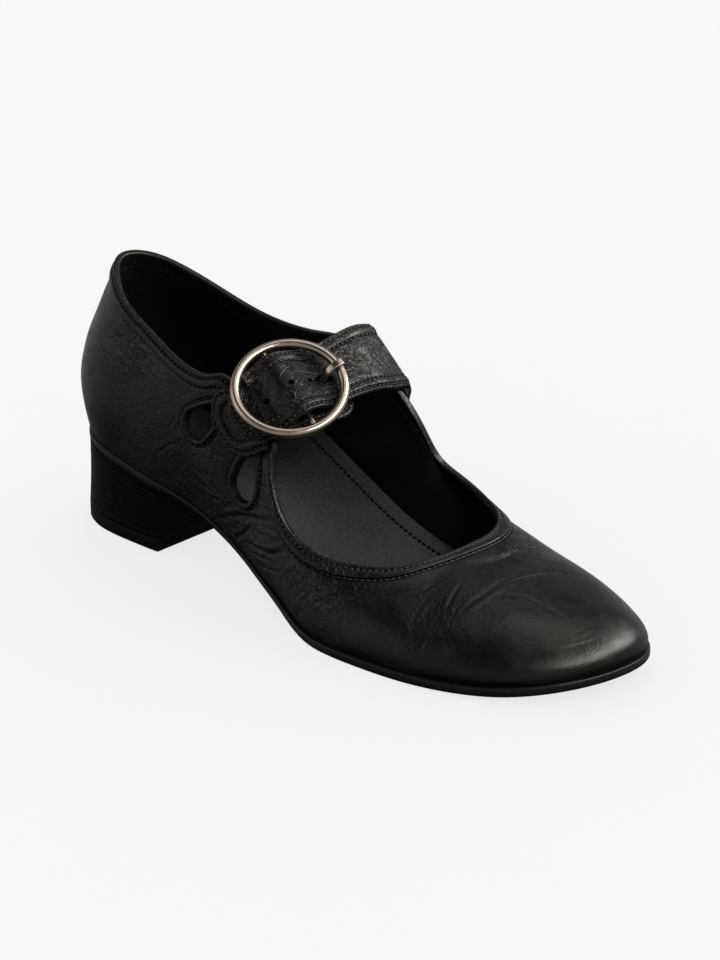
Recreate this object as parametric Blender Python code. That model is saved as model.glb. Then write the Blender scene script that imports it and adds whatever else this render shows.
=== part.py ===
"""Heeled bar shoe for the right foot: block heel, ring buckle, two teardrop cut-outs.

Sizes are millimetres on the shoe's own axes: x from the heel back to the toe, y to the
medial side, z up from the floor. to_world() turns them into metres with the origin at the
middle of the plan, on the floor.
"""

import math

import bmesh
import bpy
import numpy as np
from mathutils import Matrix, Vector
from mathutils.bvhtree import BVHTree

COLLECTION = "heeled_shoe"
CUTTERS = "heeled_shoe_cutters"
MM = 0.001

# Driving sizes of the last; the station table holds the base size and follows these
LENGTH = 242.0
BALL_WIDTH = 80.0
COLLAR_HEIGHT = 96.5
BASE_LENGTH = 242.0
BASE_BALL_WIDTH = 80.0
BASE_COLLAR_HEIGHT = 96.5
PLAN_CENTRE = (122.39, -4.8)

# Bottom profile: the top of the outsole, from the heel seat over the waist to the toe
SEAT_BACK_Z = 36.7
SEAT_FRONT_X = 55.0
SEAT_FRONT_Z = 29.0
BALL_X = 150.0
ROLL_X = 182.0
TOE_X = 244.0
TOE_SPRING = 5.2

# Thicknesses and clearances
GAP = 0.3
LAY_GAP = 0.6
REACH_IN = 8.0
END_FLAT = 0.06
WALL = 1.8
OUTSOLE = 3.2
INSOLE = 1.8
INSOLE_BEVEL = 1.2
TOP_PIECE = 5.2
BAND_WIDTH = 4.6
BAND_RAISE = 0.6
RIM_ROUND = 0.5

# Outsole edge past the upper, at the forefoot and at the waist and heel
LEDGE_FORE = 1.3
LEDGE_REAR = 0.5
LEDGE_FROM_X = 90.0
LEDGE_TO_X = 140.0
EDGE_ROUND = 0.6
WAIST_BEVEL = 1.6
BEVEL_RUN = 15.0

# Arch support: how far the insole climbs the medial wall, and where along the foot
ARCH_RISE = 22.0
ARCH_REAR = (35.0, 85.0)
ARCH_FRONT = (85.0, 188.0)
ARCH_POWER = 3.0
ARCH_LEAST = 1.0

# Heel block
BREAST_X = 53.0
HEEL_INSET = -0.3
HEEL_TAPER = 2.2
HEEL_FLARE = 1.6
HEEL_WAIST = 0.3
GROOVE = 0.5
TREAD_BEVEL = 0.6

# Mesh steps: around the shoe, up the wall, across the caps, and along the small pieces
AROUND = 88
UP = 8
ACROSS = 5
FLANK_STEPS = 4
BAND_COLUMNS = 6
HEEL_STEPS = 36
HEEL_RINGS = 4
STRAP_ROWS = 44
TAB_ROWS = 36
LOOP_ROWS = 24
LOOP_COLUMNS = 2
PRONG_ROWS = 30
RING_STEPS = 40
WIRE_STEPS = 10
BAR_STEPS = 10
HOLE_STEPS = 14
SEARCH_STEPS = 600
HALVINGS = 30
SMALL = 0.01
SHARP_DEG = 40.0

# Plain colours and finish of each piece
MATERIALS = """
name          red   green  blue  roughness metallic
upper         0.020 0.020 0.021  0.45      0
outsole       0.018 0.016 0.015  0.50      0
insole        0.060 0.060 0.062  0.60      0
heel          0.022 0.020 0.019  0.50      0
top_piece     0.015 0.015 0.016  0.60      0
buckle_tab    0.022 0.022 0.023  0.45      0
strap         0.022 0.022 0.023  0.42      0
buckle_loop   0.022 0.022 0.023  0.50      0
buckle_ring   0.620 0.580 0.530  0.25      1
buckle_prong  0.620 0.580 0.530  0.25      1
"""

# One row for each rib: foot of the rib on the feather line, its top on the topline, and how
# it leaves them (rise along a splay angle at the foot, reach along a pitch angle at the top)
STATIONS = """
name             foot_x foot_y  top_x top_y  top_z  rise splay reach pitch
heel_back           4     0      13     0    97.6   28    18    26    69
heel_back_lat       9.8 -16.8    18.7 -10.6  94.8   28    16.5  26    69.5
heel_corner_lat    21   -24      30   -17.8  89     28    14    24    72
heel_side_lat      38   -27      47   -22    82.7   26    10    20    76
heel_breast_lat    56   -28      66   -26    77     24     7    16    80
waist_rear_lat     74   -27      82   -27.5  76     24     9    16    82
strap_back_lat     92   -28      93   -26.5  76.4   26    12    20    78
strap_mid_lat     103   -30     104   -25.1  67.6   23    15    20    78
strap_front_lat   113   -32.5   114   -28    61.5   19    16    18    78
throat_rear_lat   123   -35.3   116.3 -31    53     15    16    14    76
throat_low_lat    135   -39.7   125   -34.8  37.6   12    14    10    70
ball_rear_lat     149   -43.5   140.5 -35.2  29.6   11    12     9    60
ball_lat          166   -44.1   154   -31    28     11    11    10    46
ball_front_lat    184   -42.5   165   -24    28     11    11    14    32
toe_side_lat      203   -38.5   172   -14    29.5   11    12    22    22
toe_corner_lat    221   -31     175    -5    30.5   11    13    31    15
toe_front_lat     235   -17     176.5   2    31.5   11    16    37    11
toe_tip           242.5   1     177     8.5  32     12.6  23    38    11
toe_front_med     241.5  15.5   176    15    32.3   12.5  27    31    14
toe_corner_med    233.5  26     173.5  20.5  33      9.5  21    21    23
toe_side_med      217    32.5   167.5  26    34      7    14    13    40
ball_med          195    34.5   157    29.3  37      7    12    10    60
ball_rear_med     175    34     146    30.7  40     11    11    11    66
throat_rear_med   155    30     137    29.6  46     16     9    14    74
strap_front_med   137    26     130    25.6  61     22     9    18    80
strap_back_med    114    22.5   106    24    78.6   24    10    20    80
waist_rear_med     92    21.5    85    24.5  78.8   24    10    18    82
heel_breast_med    70    22.5    66    24    78.5   24    10    18    80
heel_side_med      46    25.5    48    22    82.5   26     9    20    76
heel_corner_med    25    24      31    17.5  89.5   28    11    24    74
heel_back_med      10.5  16.8    18.8  10.8  95.2   28    13    26    72
"""

# Teardrop cut-outs in the lateral wall: middle of the round end and the point, in x and z
CUT_OUTS = """
name     round_x round_z point_x point_z radius
rear       78.2    57.0    95      69.9   5.1
front     103.3    41.8   104.8    57.5   5.5
"""
CUT_DEPTH = (-45.0, -15.0)
CUT_ARC_STEPS = 11
CUT_SIDE_STEPS = 5
CUT_SWELL = 1.5

# Ring buckle: middle of the ring, the way it faces, and the run of the strap across it
RING_CENTRE = (114.6, -20.0, 77.9)
RING_TURN = 43.0
RING_TILT = 57.0
STRAP_HEADING = (-0.2, -1.0, 0.0)
RING_RADIUS = 18.65
WIRE_RADIUS = 1.65
BAR_RADIUS = 1.0
BAR_DROP = 1.5

# Strap: a row for each place along it, at the medial quarter in x, y, z and across the ring as
# along, aside and lift in the ring's own axes, with the tilt of its width there
STRAP_THICK = 1.8
STRAP_ENDS = (6.0, 11.0)
STRAP_MEDIAL = """
name           x      y     z    turn_x turn_y turn_z half
sewn_end     103.5   27.5  52.0   0.86   0.04  -0.51   14.0
sewn_round   104.6   27.5  54.0   0.86   0.04  -0.51   14.2
quarter      110.6   27.4  63.5   0.82  -0.02  -0.57   14.3
topline      115.6   27.1  72.1   0.77  -0.10  -0.63   14.6
fold         117.4   24.1  76.7   0.77  -0.11  -0.63   14.6
instep       117.6   13.0  79.8   0.80  -0.06  -0.60   13.3
"""
STRAP_RING = """
name          along aside lift  tilt  half
rim_right    -18.5  -1.4  -5.2  0.00  13.1
rise         -10.0  -1.1  -2.8  0.00  13.4
rise_end      -4.0  -0.9   1.0  0.00  13.7
bar            0.0  -0.8   2.1  0.00  13.8
fall_start     4.0  -0.8   1.0  0.00  13.8
fall          10.0  -0.8  -3.2 -0.02  13.4
rim_left      15.5  -0.6  -4.9 -0.09  13.0
tip           21.0  -0.3  -6.2 -0.18  12.4
"""
HOLE_DEPTH = 16.0
HOLES = """
name     along  aside  radius stretch
used     -12.5   1.0   1.9    1.75
next      -7.6   0.4   1.1    1.0
middle    -0.6   0.0   1.1    1.0
last       9.2   0.0   1.1    1.0
"""

# Buckle tab: from its free end under the strap, below the ring, down onto the lateral quarter
TAB_THICK = 1.8
TAB_ENDS = (10.0, 12.5)
TAB_RING = """
name          along aside lift   tilt  half
free_end     -20.5   2.0 -10.6   0.00  13.2
free_round   -17.5   2.0  -9.8   0.00  13.3
under_rise    -9.0   1.6  -7.4   0.00  13.4
under_bar      0.0   1.0  -6.2   0.00  13.4
under_fall     8.0   0.2  -7.0  -0.04  13.4
over_edge     13.0  -0.3  -7.9  -0.12  13.4
"""
TAB_QUARTER = """
name           x      y     z    turn_x turn_y turn_z half
patch        101.6  -30.5  65.5   0.76  -0.06  -0.65   13.4
patch_round   95.8  -31.0  60.6   0.74  -0.06  -0.67   13.2
patch_end     92.0  -31.2  57.4   0.74  -0.06  -0.67   13.0
"""

# Loop that holds the bar to the tab, and the prong, both along and lift in the ring's axes
LOOP_THICK = 0.9
LOOP_HALF = 9.0
LOOP_SLOT_LONG = (-9.0, 3.6)
LOOP_SLOT_WIDE = (-2.6, 2.6)
LOOP_SLOT_DEEP = (-7.0, 3.0)
LOOP_PATH = """
name        along lift
rear_foot    7.5  -4.9
rear_turn    4.0  -4.4
rear_side    2.3  -2.9
rear_top     1.4  -0.5
crown        0.0   0.3
front_top   -1.4  -0.5
front_side  -2.3  -2.9
front_turn  -4.0  -4.5
front_foot  -7.5  -5.0
"""
PRONG_THICK = 1.0
PRONG_HALF = 1.3
PRONG_ASIDE = 1.0
PRONG_PATH = """
name        along lift
eye_start    0.4  -3.3
eye_rear     1.8  -1.5
eye_top      0.2   0.3
eye_front   -1.7  -1.1
under_strap -4.5  -3.1
rising      -9.5  -4.8
through    -12.3  -3.0
clear      -14.6   0.5
climb      -16.4   1.9
rim        -18.3   2.5
tip        -20.3   2.5
"""


# Tables and curves


def rows_of(text):
    """Reads a table of named columns as a dict of number arrays."""
    lines = [line.split() for line in text.strip().splitlines()]
    numbers = np.array([[float(word) for word in line[1:]] for line in lines[1:]])
    return {name: numbers[:, k] for k, name in enumerate(lines[0][1:])}


def named_rows(text):
    """Reads a table as a dict of its rows by name, each a dict of numbers by column."""
    head, *lines = [line.split() for line in text.strip().splitlines()]
    return {line[0]: dict(zip(head[1:], map(float, line[1:]))) for line in lines}


def second_slopes(knots, values, closed):
    """Second derivatives of the cubic spline through the values at the knots."""
    step = np.diff(knots)
    count = len(values)
    grid = np.zeros((count, count))
    right = np.zeros_like(values)
    for k in range(count):
        if not closed and k in (0, count - 1):
            grid[k, k] = 1.0
            continue
        before, after = step[k - 1], step[k]
        ahead = (k + 1) % count
        grid[k, k - 1] += before
        grid[k, k] += 2 * (before + after)
        grid[k, ahead] += after
        right[k] = 6 * ((values[ahead] - values[k]) / after - (values[k] - values[k - 1]) / before)
    return np.linalg.solve(grid, right)


class Spline:
    """Cubic spline through rows of values, spaced by the length of a guide line through them."""

    def __init__(self, guide, values, closed=False):
        ends = np.vstack([guide, guide[:1]]) if closed else guide
        gaps = np.linalg.norm(np.diff(ends, axis=0), axis=1)
        self.knots = np.concatenate([[0.0], np.cumsum(gaps)])
        self.length = self.knots[-1]
        self.bend = second_slopes(self.knots, values, closed)
        self.values = values
        self.closed = closed

    def at(self, place, slope=False):
        """Values, or their slopes, at places along the guide."""
        place = np.mod(place, self.length) if self.closed else np.clip(place, 0.0, self.length)
        k = np.clip(np.searchsorted(self.knots, place, side="right") - 1, 0, len(self.knots) - 2)
        ahead = (k + 1) % len(self.values)
        step = (self.knots[k + 1] - self.knots[k])[..., None]
        b = (place[..., None] - self.knots[k][..., None]) / step
        a = 1.0 - b
        start, end = self.values[k], self.values[ahead]
        bend_start, bend_end = self.bend[k], self.bend[ahead]
        if slope:
            curve = (3 * b * b - 1) * bend_end - (3 * a * a - 1) * bend_start
            return (end - start) / step + curve * step / 6
        curve = (a**3 - a) * bend_start + (b**3 - b) * bend_end
        return a * start + b * end + curve * step**2 / 6


def smooth_step(value, low, high):
    """Rises from 0 at low to 1 at high."""
    part = np.clip((value - low) / (high - low), 0.0, 1.0)
    return part * part * (3 - 2 * part)


def bed(x):
    """Height of the outsole's top at x: straight heel seat, curved waist, flat ball, toe spring."""
    x = np.asarray(x, float)
    fall = (SEAT_FRONT_Z - SEAT_BACK_Z) / SEAT_FRONT_X
    span = BALL_X - SEAT_FRONT_X
    part = np.clip((x - SEAT_FRONT_X) / span, 0.0, 1.0)
    waist = (2 * part**3 - 3 * part**2 + 1) * SEAT_FRONT_Z
    waist += (part**3 - 2 * part**2 + part) * span * fall + (3 * part**2 - 2 * part**3) * OUTSOLE
    toe = OUTSOLE + TOE_SPRING * np.clip((x - ROLL_X) / (TOE_X - ROLL_X), 0.0, None) ** 2
    return np.where(x < SEAT_FRONT_X, SEAT_BACK_Z + fall * x, np.where(x < BALL_X, waist, toe))


# The upper's own surface


def unit(vectors):
    return vectors / np.linalg.norm(vectors, axis=-1, keepdims=True)


def station_spline():
    """Spline of the station rows round the feather line, and the row of the toe."""
    table = rows_of(STATIONS)
    along = LENGTH / BASE_LENGTH
    aside = BALL_WIDTH / BASE_BALL_WIDTH
    height = COLLAR_HEIGHT / BASE_COLLAR_HEIGHT
    stretch = dict(foot_x=along, top_x=along, foot_y=aside, top_y=aside, top_z=height)
    values = np.column_stack([table[name] * stretch.get(name, 1.0) for name in table])
    return Spline(values[:, :2], values, closed=True), int(np.argmax(values[:, 0]))


RIBS, TOE_ROW = station_spline()
TOE_PLACE = RIBS.knots[TOE_ROW]


def places_around(count):
    """Places on the feather line, as many on the lateral side as on the medial side."""
    half = count // 2
    lateral = TOE_PLACE * np.arange(half) / half
    medial = TOE_PLACE + (RIBS.length - TOE_PLACE) * np.arange(half) / half
    return np.concatenate([lateral, medial])


def plan_normal(place):
    """Outward direction of the feather line in plan."""
    slope = RIBS.at(place, slope=True)
    return unit(np.stack([slope[..., 1], -slope[..., 0]], -1))


def rib_point(place, rise):
    """Point of the outer surface on the rib at a place, from 0 at its foot to 1 at the topline."""
    row = RIBS.at(place)
    foot_x, foot_y, top_x, top_y, top_z, low, splay, reach, pitch = np.moveaxis(row, -1, 0)
    flat = plan_normal(place)
    out = np.concatenate([flat, np.zeros(flat.shape[:-1] + (1,))], -1)
    up = np.zeros_like(out)
    up[..., 2] = 1.0
    foot = np.stack([foot_x, foot_y, bed(foot_x) + GAP], -1)
    top = np.stack([top_x, top_y, top_z], -1)
    splay, pitch = np.radians(splay)[..., None], np.radians(pitch)[..., None]
    near_foot = foot + low[..., None] * (out * np.sin(splay) + up * np.cos(splay))
    near_top = top + reach[..., None] * (out * np.cos(pitch) - up * np.sin(pitch))
    t = np.asarray(rise)[..., None]
    s = 1 - t
    return s**3 * foot + 3 * s**2 * t * near_foot + 3 * s * t**2 * near_top + t**3 * top


def skin_point(place, rise, offset):
    """Point at an offset out of the outer surface."""
    across = rib_point(place + SMALL, rise) - rib_point(place - SMALL, rise)
    along = rib_point(place, rise + SMALL) - rib_point(place, rise - SMALL)
    return rib_point(place, rise) + np.asarray(offset)[..., None] * unit(np.cross(across, along))


def band_start(place):
    """Place on the rib where the topline band starts."""
    top = np.ones_like(place)
    speed = np.linalg.norm(rib_point(place, top) - rib_point(place, top - SMALL), axis=-1)
    return 1.0 - np.clip(BAND_WIDTH * SMALL / speed, 0.0, 0.5)


# Meshes


def to_world(points):
    points = np.asarray(points, float)
    return (points - np.array([*PLAN_CENTRE, 0.0])) * MM


def finish_mesh(name, points, faces, collection):
    """Makes an object from points in millimetres and faces."""
    mesh = bpy.data.meshes.new(name)
    mesh.from_pydata([tuple(p) for p in to_world(points)], [], [tuple(int(k) for k in f) for f in faces])
    work = bmesh.new()
    work.from_mesh(mesh)
    bmesh.ops.recalc_face_normals(work, faces=work.faces)
    work.to_mesh(mesh)
    work.free()
    thing = bpy.data.objects.new(name, mesh)
    collection.objects.link(thing)
    dress(thing)
    return thing


def placed(name, placement, collection):
    """Names the primitive just added, places it and moves it into a collection."""
    thing = bpy.context.active_object
    thing.name = name
    thing.data.name = name
    thing.matrix_world = placement
    for other in list(thing.users_collection):
        other.objects.unlink(thing)
    collection.objects.link(thing)
    dress(thing)
    return thing


def dress(thing):
    """Gives a part its material; a piece with none in the table is a cutter."""
    thing.data.shade_smooth()
    thing.data.set_sharp_from_angle(angle=math.radians(SHARP_DEG))
    finish = named_rows(MATERIALS).get(thing.name)
    if finish is None:
        thing.hide_render = True
        thing.display_type = "WIRE"
        return
    material = bpy.data.materials.new(thing.name)
    material.use_nodes = True
    shader = material.node_tree.nodes["Principled BSDF"]
    shader.inputs["Base Color"].default_value = (finish["red"], finish["green"], finish["blue"], 1.0)
    shader.inputs["Roughness"].default_value = finish["roughness"]
    shader.inputs["Metallic"].default_value = finish["metallic"]
    thing.data.materials.append(material)


def ring_faces(rows, count, wrap):
    """Quads between rows of points that each run right round."""
    faces = []
    for r in range(rows if wrap else rows - 1):
        low, high = r * count, (r + 1) % rows * count
        for k in range(count):
            ahead = (k + 1) % count
            faces.append((low + k, low + ahead, high + ahead, high + k))
    return faces


def cap_faces(points, ring, height):
    """Closes a ring from heel to toe with strips across it.

    The height of a point comes from its x and its part of the way from lateral to medial edge.
    """
    half = len(ring) // 2
    rows = [[ring[0]]]
    for k in range(1, half):
        left, right = points[ring[k]], points[ring[-k]]
        row = [ring[k]]
        for j in range(1, ACROSS):
            x, y = (left + (right - left) * j / ACROSS)[:2]
            row.append(len(points))
            points.append(np.array([x, y, height(x, j / ACROSS)]))
        rows.append(row + [ring[-k]])
    rows.append([ring[half]])
    faces = []
    for low, high in zip(rows, rows[1:]):
        for j in range(ACROSS):
            corners = [low[min(j, len(low) - 1)], low[min(j + 1, len(low) - 1)]]
            corners += [high[min(j + 1, len(high) - 1)], high[min(j, len(high) - 1)]]
            faces.append(tuple(dict.fromkeys(corners)))
    return faces


def outline(inset):
    """The feather line in plan, moved in by an inset for each place."""
    place = places_around(AROUND)
    return RIBS.at(place)[:, :2] - np.asarray(inset).reshape(-1, 1) * plan_normal(place)


def slab(name, levels, bottom, top, collection):
    """A piece between two capped outlines: levels are rings from the bottom up."""
    count = len(levels[0])
    points = [p for ring in levels for p in ring]
    last = (len(levels) - 1) * count
    faces = ring_faces(len(levels), count, wrap=False)
    faces += cap_faces(points, list(range(count)), bottom)
    faces += cap_faces(points, list(range(last, last + count)), top)
    return finish_mesh(name, points, faces, collection)


def make_upper(collection):
    """The hollow upper: a wall round the foot with a raised band along the topline."""
    place = places_around(AROUND)
    start = band_start(place)
    top = np.ones_like(place)
    steps = np.arange(UP + 1) / UP
    outside = [(start * k, 0.0) for k in steps]
    outside += [(start, BAND_RAISE), ((start + top) / 2, BAND_RAISE), (top, BAND_RAISE)]
    inside = [(top, -WALL)] + [(start * k, -WALL) for k in steps[:0:-1]]
    crest = skin_point(place, top, np.full(AROUND, (BAND_RAISE - WALL) / 2))
    lean = unit(rib_point(place, top) - rib_point(place, start))
    rows = [skin_point(place, rise, np.full(AROUND, offset)) for rise, offset in outside]
    rows.append(crest + RIM_ROUND * lean)
    rows += [skin_point(place, rise, np.full(AROUND, offset)) for rise, offset in inside]
    rows.append(np.column_stack([outline(WALL), bed(RIBS.at(place)[:, 0]) + GAP]))
    faces = ring_faces(len(rows), AROUND, wrap=True)
    return finish_mesh("upper", np.concatenate(rows), faces, collection)


def ledge(x):
    """How far the outsole stands out past the upper at x."""
    return LEDGE_REAR + (LEDGE_FORE - LEDGE_REAR) * smooth_step(x, LEDGE_FROM_X, LEDGE_TO_X)


def sole_bottom(x, part):
    return bed(x) - OUTSOLE


def sole_top(x, part):
    return bed(x)


def make_outsole(collection):
    """The outsole, from toe to heel seat, with a rounded edge that is bevelled at the waist."""
    x = RIBS.at(places_around(AROUND))[:, 0]
    edge = ledge(x)
    waist = smooth_step(x, BREAST_X, BREAST_X + BEVEL_RUN) * (1 - smooth_step(x, LEDGE_FROM_X, BALL_X))
    rings = [(EDGE_ROUND + WAIST_BEVEL * waist - edge, OUTSOLE)]
    rings += [(-edge, OUTSOLE - EDGE_ROUND), (-edge, EDGE_ROUND), (EDGE_ROUND / 2 - edge, 0.0)]
    levels = []
    for inset, drop in rings:
        plan = outline(inset)
        levels.append(np.column_stack([plan, bed(plan[:, 0]) - drop]))
    return slab("outsole", levels, sole_bottom, sole_top, collection)


def arch_rise(x):
    """How far the insole's medial edge climbs the wall at x."""
    return ARCH_RISE * smooth_step(x, *ARCH_REAR) * (1 - smooth_step(x, *ARCH_FRONT))


def rise_at_height(place, height):
    """Part of each rib where its outer surface reaches a height."""
    low, high = np.zeros_like(place), np.ones_like(place)
    for _ in range(HALVINGS):
        middle = (low + high) / 2
        under = rib_point(place, middle)[:, 2] < height
        low, high = np.where(under, middle, low), np.where(under, high, middle)
    return (low + high) / 2


def insole_bottom(x, part):
    return bed(x) + GAP


def insole_top(x, part):
    return bed(x) + GAP + INSOLE + arch_rise(x) * part**ARCH_POWER


def make_insole(collection):
    """The insole with its sock on the outsole, climbing the medial wall as an arch support."""
    place = places_around(AROUND)
    plan = outline(WALL + GAP)
    foot = bed(plan[:, 0]) + GAP
    climb = np.where(place > TOE_PLACE, arch_rise(RIBS.at(place)[:, 0]), 0.0)
    levels = [np.column_stack([plan, foot])]
    for k in range(1, FLANK_STEPS + 1):
        part = k / FLANK_STEPS
        height = foot + part * (INSOLE + climb)
        edge = np.column_stack([outline(WALL + GAP + INSOLE_BEVEL * part), height])
        wall = skin_point(place, rise_at_height(place, height), np.full(AROUND, -WALL - LAY_GAP))
        levels.append(np.where(climb[:, None] > ARCH_LEAST, wall, edge))
    return slab("insole", levels, insole_bottom, insole_top, collection)


def heel_outline(inset, drop):
    """The heel's outline in plan, breast to breast round the back.

    Going down by a drop of 0 to 1, it tapers at the breast and flares at the back.
    """
    ends = []
    for start in (0.0, RIBS.length):
        side = np.linspace(start, TOE_PLACE, SEARCH_STEPS)
        ends.append(side[np.argmax(RIBS.at(side)[:, 0] > BREAST_X)])
    place = np.linspace(ends[1] - RIBS.length, ends[0], HEEL_STEPS + 1)
    plan = RIBS.at(place)[:, :2]
    shrink = drop * ((HEEL_TAPER + HEEL_FLARE) * plan[:, :1] / BREAST_X - HEEL_FLARE)
    plan = plan - (inset + shrink) * plan_normal(place)
    plan[0, 0] = plan[-1, 0] = BREAST_X
    return plan


def heel_piece(name, rings, collection):
    """A heel layer between flat outlines, from the bottom up."""
    count = len(rings[0])
    last = (len(rings) - 1) * count
    faces = ring_faces(len(rings), count, wrap=False)
    faces += [tuple(range(count)), tuple(range(last, last + count))]
    return finish_mesh(name, np.concatenate(rings), faces, collection)


def make_heel(collection):
    """The block heel under the seat and the top piece under it."""
    low = TOP_PIECE + GAP
    rings = []
    for part in np.linspace(0, 1, HEEL_RINGS):
        plan = heel_outline(HEEL_INSET + HEEL_WAIST * math.sin(math.pi * part), 1 - part)
        top = bed(plan[:, 0]) - OUTSOLE - GAP
        rings.append(np.column_stack([plan, low + part * (top - low)]))
    heel_piece("heel", rings, collection)
    rings = []
    sides = ((TREAD_BEVEL, 0.0), (0.0, TREAD_BEVEL), (0.0, TOP_PIECE - GROOVE), (GROOVE, TOP_PIECE))
    for inset, z in sides:
        plan = heel_outline(HEEL_INSET + inset, 1.0)
        rings.append(np.column_stack([plan, np.full(len(plan), z)]))
    heel_piece("top_piece", rings, collection)


# Strap, tab and buckle


def ring_axes():
    """The ring's own axes: along the strap, aside and lift."""
    turn, tilt = math.radians(RING_TURN), math.radians(RING_TILT)
    lift = np.array([math.sin(turn) * math.cos(tilt), -math.cos(turn) * math.cos(tilt), math.sin(tilt)])
    along = np.array(STRAP_HEADING)
    along = unit(along - lift * (along @ lift))
    return along, np.cross(lift, along), lift


def ring_point(along, aside, lift):
    """Points in the ring's axes as points of the shoe."""
    parts = (np.outer(value, axis) for value, axis in zip((along, aside, lift), ring_axes()))
    return np.array(RING_CENTRE) + sum(parts)


def ring_frame(along=0.0, aside=0.0, lift=0.0):
    """Placement in the world of the ring's axes, moved along them."""
    frame = Matrix(np.column_stack(ring_axes()).tolist()).to_4x4()
    frame.translation = Vector(to_world(ring_point([along], [aside], [lift])[0]))
    return frame


def ring_rows(text):
    """Rows in the ring's axes as points, across directions and half widths."""
    table = rows_of(text)
    points = ring_point(table["along"], table["aside"], table["lift"])
    _, aside, lift = ring_axes()
    turn = unit(aside + np.outer(table["tilt"], lift))
    return np.column_stack([points, turn, table["half"]])


def shoe_rows(text):
    """Rows in the shoe's axes, with the same columns."""
    return np.column_stack(list(rows_of(text).values()))


def laid_outside(points, lift, tree):
    """Moves points that lie too near the upper out to a lift over its surface."""
    moved = []
    for p in points:
        near, normal, _, _ = tree.find_nearest(Vector(to_world(p)))
        away = Vector(to_world(p)) - near
        height = away.dot(normal) / MM
        close = away.length / MM < lift or (height < 0 and away.length / MM < REACH_IN)
        moved.append(p + np.array(normal) * (lift - height) if close else p)
    return np.array(moved)


def rounded_end(distance, reach):
    """Part of the full width at a distance from an end that is rounded over a reach."""
    part = np.clip(distance / max(reach, SMALL) + END_FLAT, 0.0, 1.0)
    return np.sqrt(1 - (1 - part) ** 2)[:, None]


def ribbon(name, path, rows, thick, collection, tree=None, columns=BAND_COLUMNS, ends=(0.0, 0.0)):
    """A flat band along a spline of points, across directions and half widths.

    Its rows are closer together at the ends, which are rounded over the reaches in ends. With a
    tree of the upper it is laid outside of that.
    """
    spline = Spline(path[:, :3], path)
    even = np.linspace(0, 1, rows)
    place = spline.length * (even + (1 - np.cos(np.pi * even)) / 2) / 2
    value, slope = spline.at(place), spline.at(place, slope=True)
    run = unit(slope[:, :3])
    turn = unit(value[:, 3:6])
    lift = unit(np.cross(run, turn))
    half = value[:, 6:7]
    if any(ends):
        half = half * rounded_end(place, ends[0]) * rounded_end(spline.length - place, ends[1])
    sides = []
    for side in (-1, 1):
        for j in range(columns + 1):
            aside = (2 * j / columns - 1) * half
            sides.append(value[:, :3] + aside * turn + side * thick / 2 * lift)
    low, high = np.array(sides[: columns + 1]), np.array(sides[columns + 1 :])
    if tree:
        for face, clear in (((low + high) / 2, thick / 2 + LAY_GAP), (low, LAY_GAP)):
            shift = laid_outside(face.reshape(-1, 3), clear, tree).reshape(face.shape) - face
            low, high = low + shift, high + shift
    ring = np.concatenate([low, high[::-1]])
    points = ring.transpose(1, 0, 2).reshape(-1, 3)
    count = len(ring)
    faces = ring_faces(rows, count, wrap=False)
    for start in (0, (rows - 1) * count):
        for j in range(columns):
            faces.append((start + j, start + j + 1, start + count - 2 - j, start + count - 1 - j))
    return finish_mesh(name, points, faces, collection)


def path_in_ring(text, half, aside=0.0):
    """A path of along and lift in the ring's axes as rows for a ribbon."""
    table = rows_of(text)
    points = ring_point(table["along"], np.full(len(table["along"]), aside), table["lift"])
    turn = np.tile(ring_axes()[1], (len(points), 1))
    return np.column_stack([points, turn, np.full(len(points), half)])


def cut(thing, cutter, operation="DIFFERENCE"):
    modifier = thing.modifiers.new(cutter.name, "BOOLEAN")
    modifier.operation = operation
    modifier.solver = "EXACT"
    modifier.object = cutter


def teardrop(drop):
    """Outline of a cut-out in x and z: half a round, then swelled sides that meet in the point."""
    middle = np.array([drop["round_x"], drop["round_z"]])
    run = np.array([drop["point_x"], drop["point_z"]]) - middle
    aside = unit(np.array([run[1], -run[0]]))
    turns = np.linspace(0.0, math.pi, CUT_ARC_STEPS)
    back = np.outer(np.cos(turns), aside) - np.outer(np.sin(turns), unit(run))
    part = np.arange(1, CUT_SIDE_STEPS + 1) / CUT_SIDE_STEPS
    spine = middle + np.outer(part, run)
    half = drop["radius"] * np.outer(1 - part**CUT_SWELL, aside)
    return np.vstack([middle + drop["radius"] * back, spine - half, (spine + half)[-2::-1]])


def cut_teardrops(upper, collection):
    """Two teardrop openings through the lateral wall."""
    for name, drop in named_rows(CUT_OUTS).items():
        shape = teardrop(drop)
        count = len(shape)
        ends = [np.column_stack([shape[:, 0], np.full(count, y), shape[:, 1]]) for y in CUT_DEPTH]
        faces = ring_faces(2, count, wrap=False) + [tuple(range(count)), tuple(range(count, 2 * count))]
        cut(upper, finish_mesh(f"teardrop_{name}", np.concatenate(ends), faces, collection))


def cut_holes(strap, collection):
    """Punched holes along the strap; the one in use is drawn out along it."""
    for name, hole in named_rows(HOLES).items():
        bpy.ops.mesh.primitive_cylinder_add(
            vertices=HOLE_STEPS, radius=hole["radius"] * MM, depth=HOLE_DEPTH * MM
        )
        frame = ring_frame(hole["along"], hole["aside"]) @ Matrix.Diagonal((hole["stretch"], 1, 1, 1))
        cut(strap, placed(f"hole_{name}", frame, collection))


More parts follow.
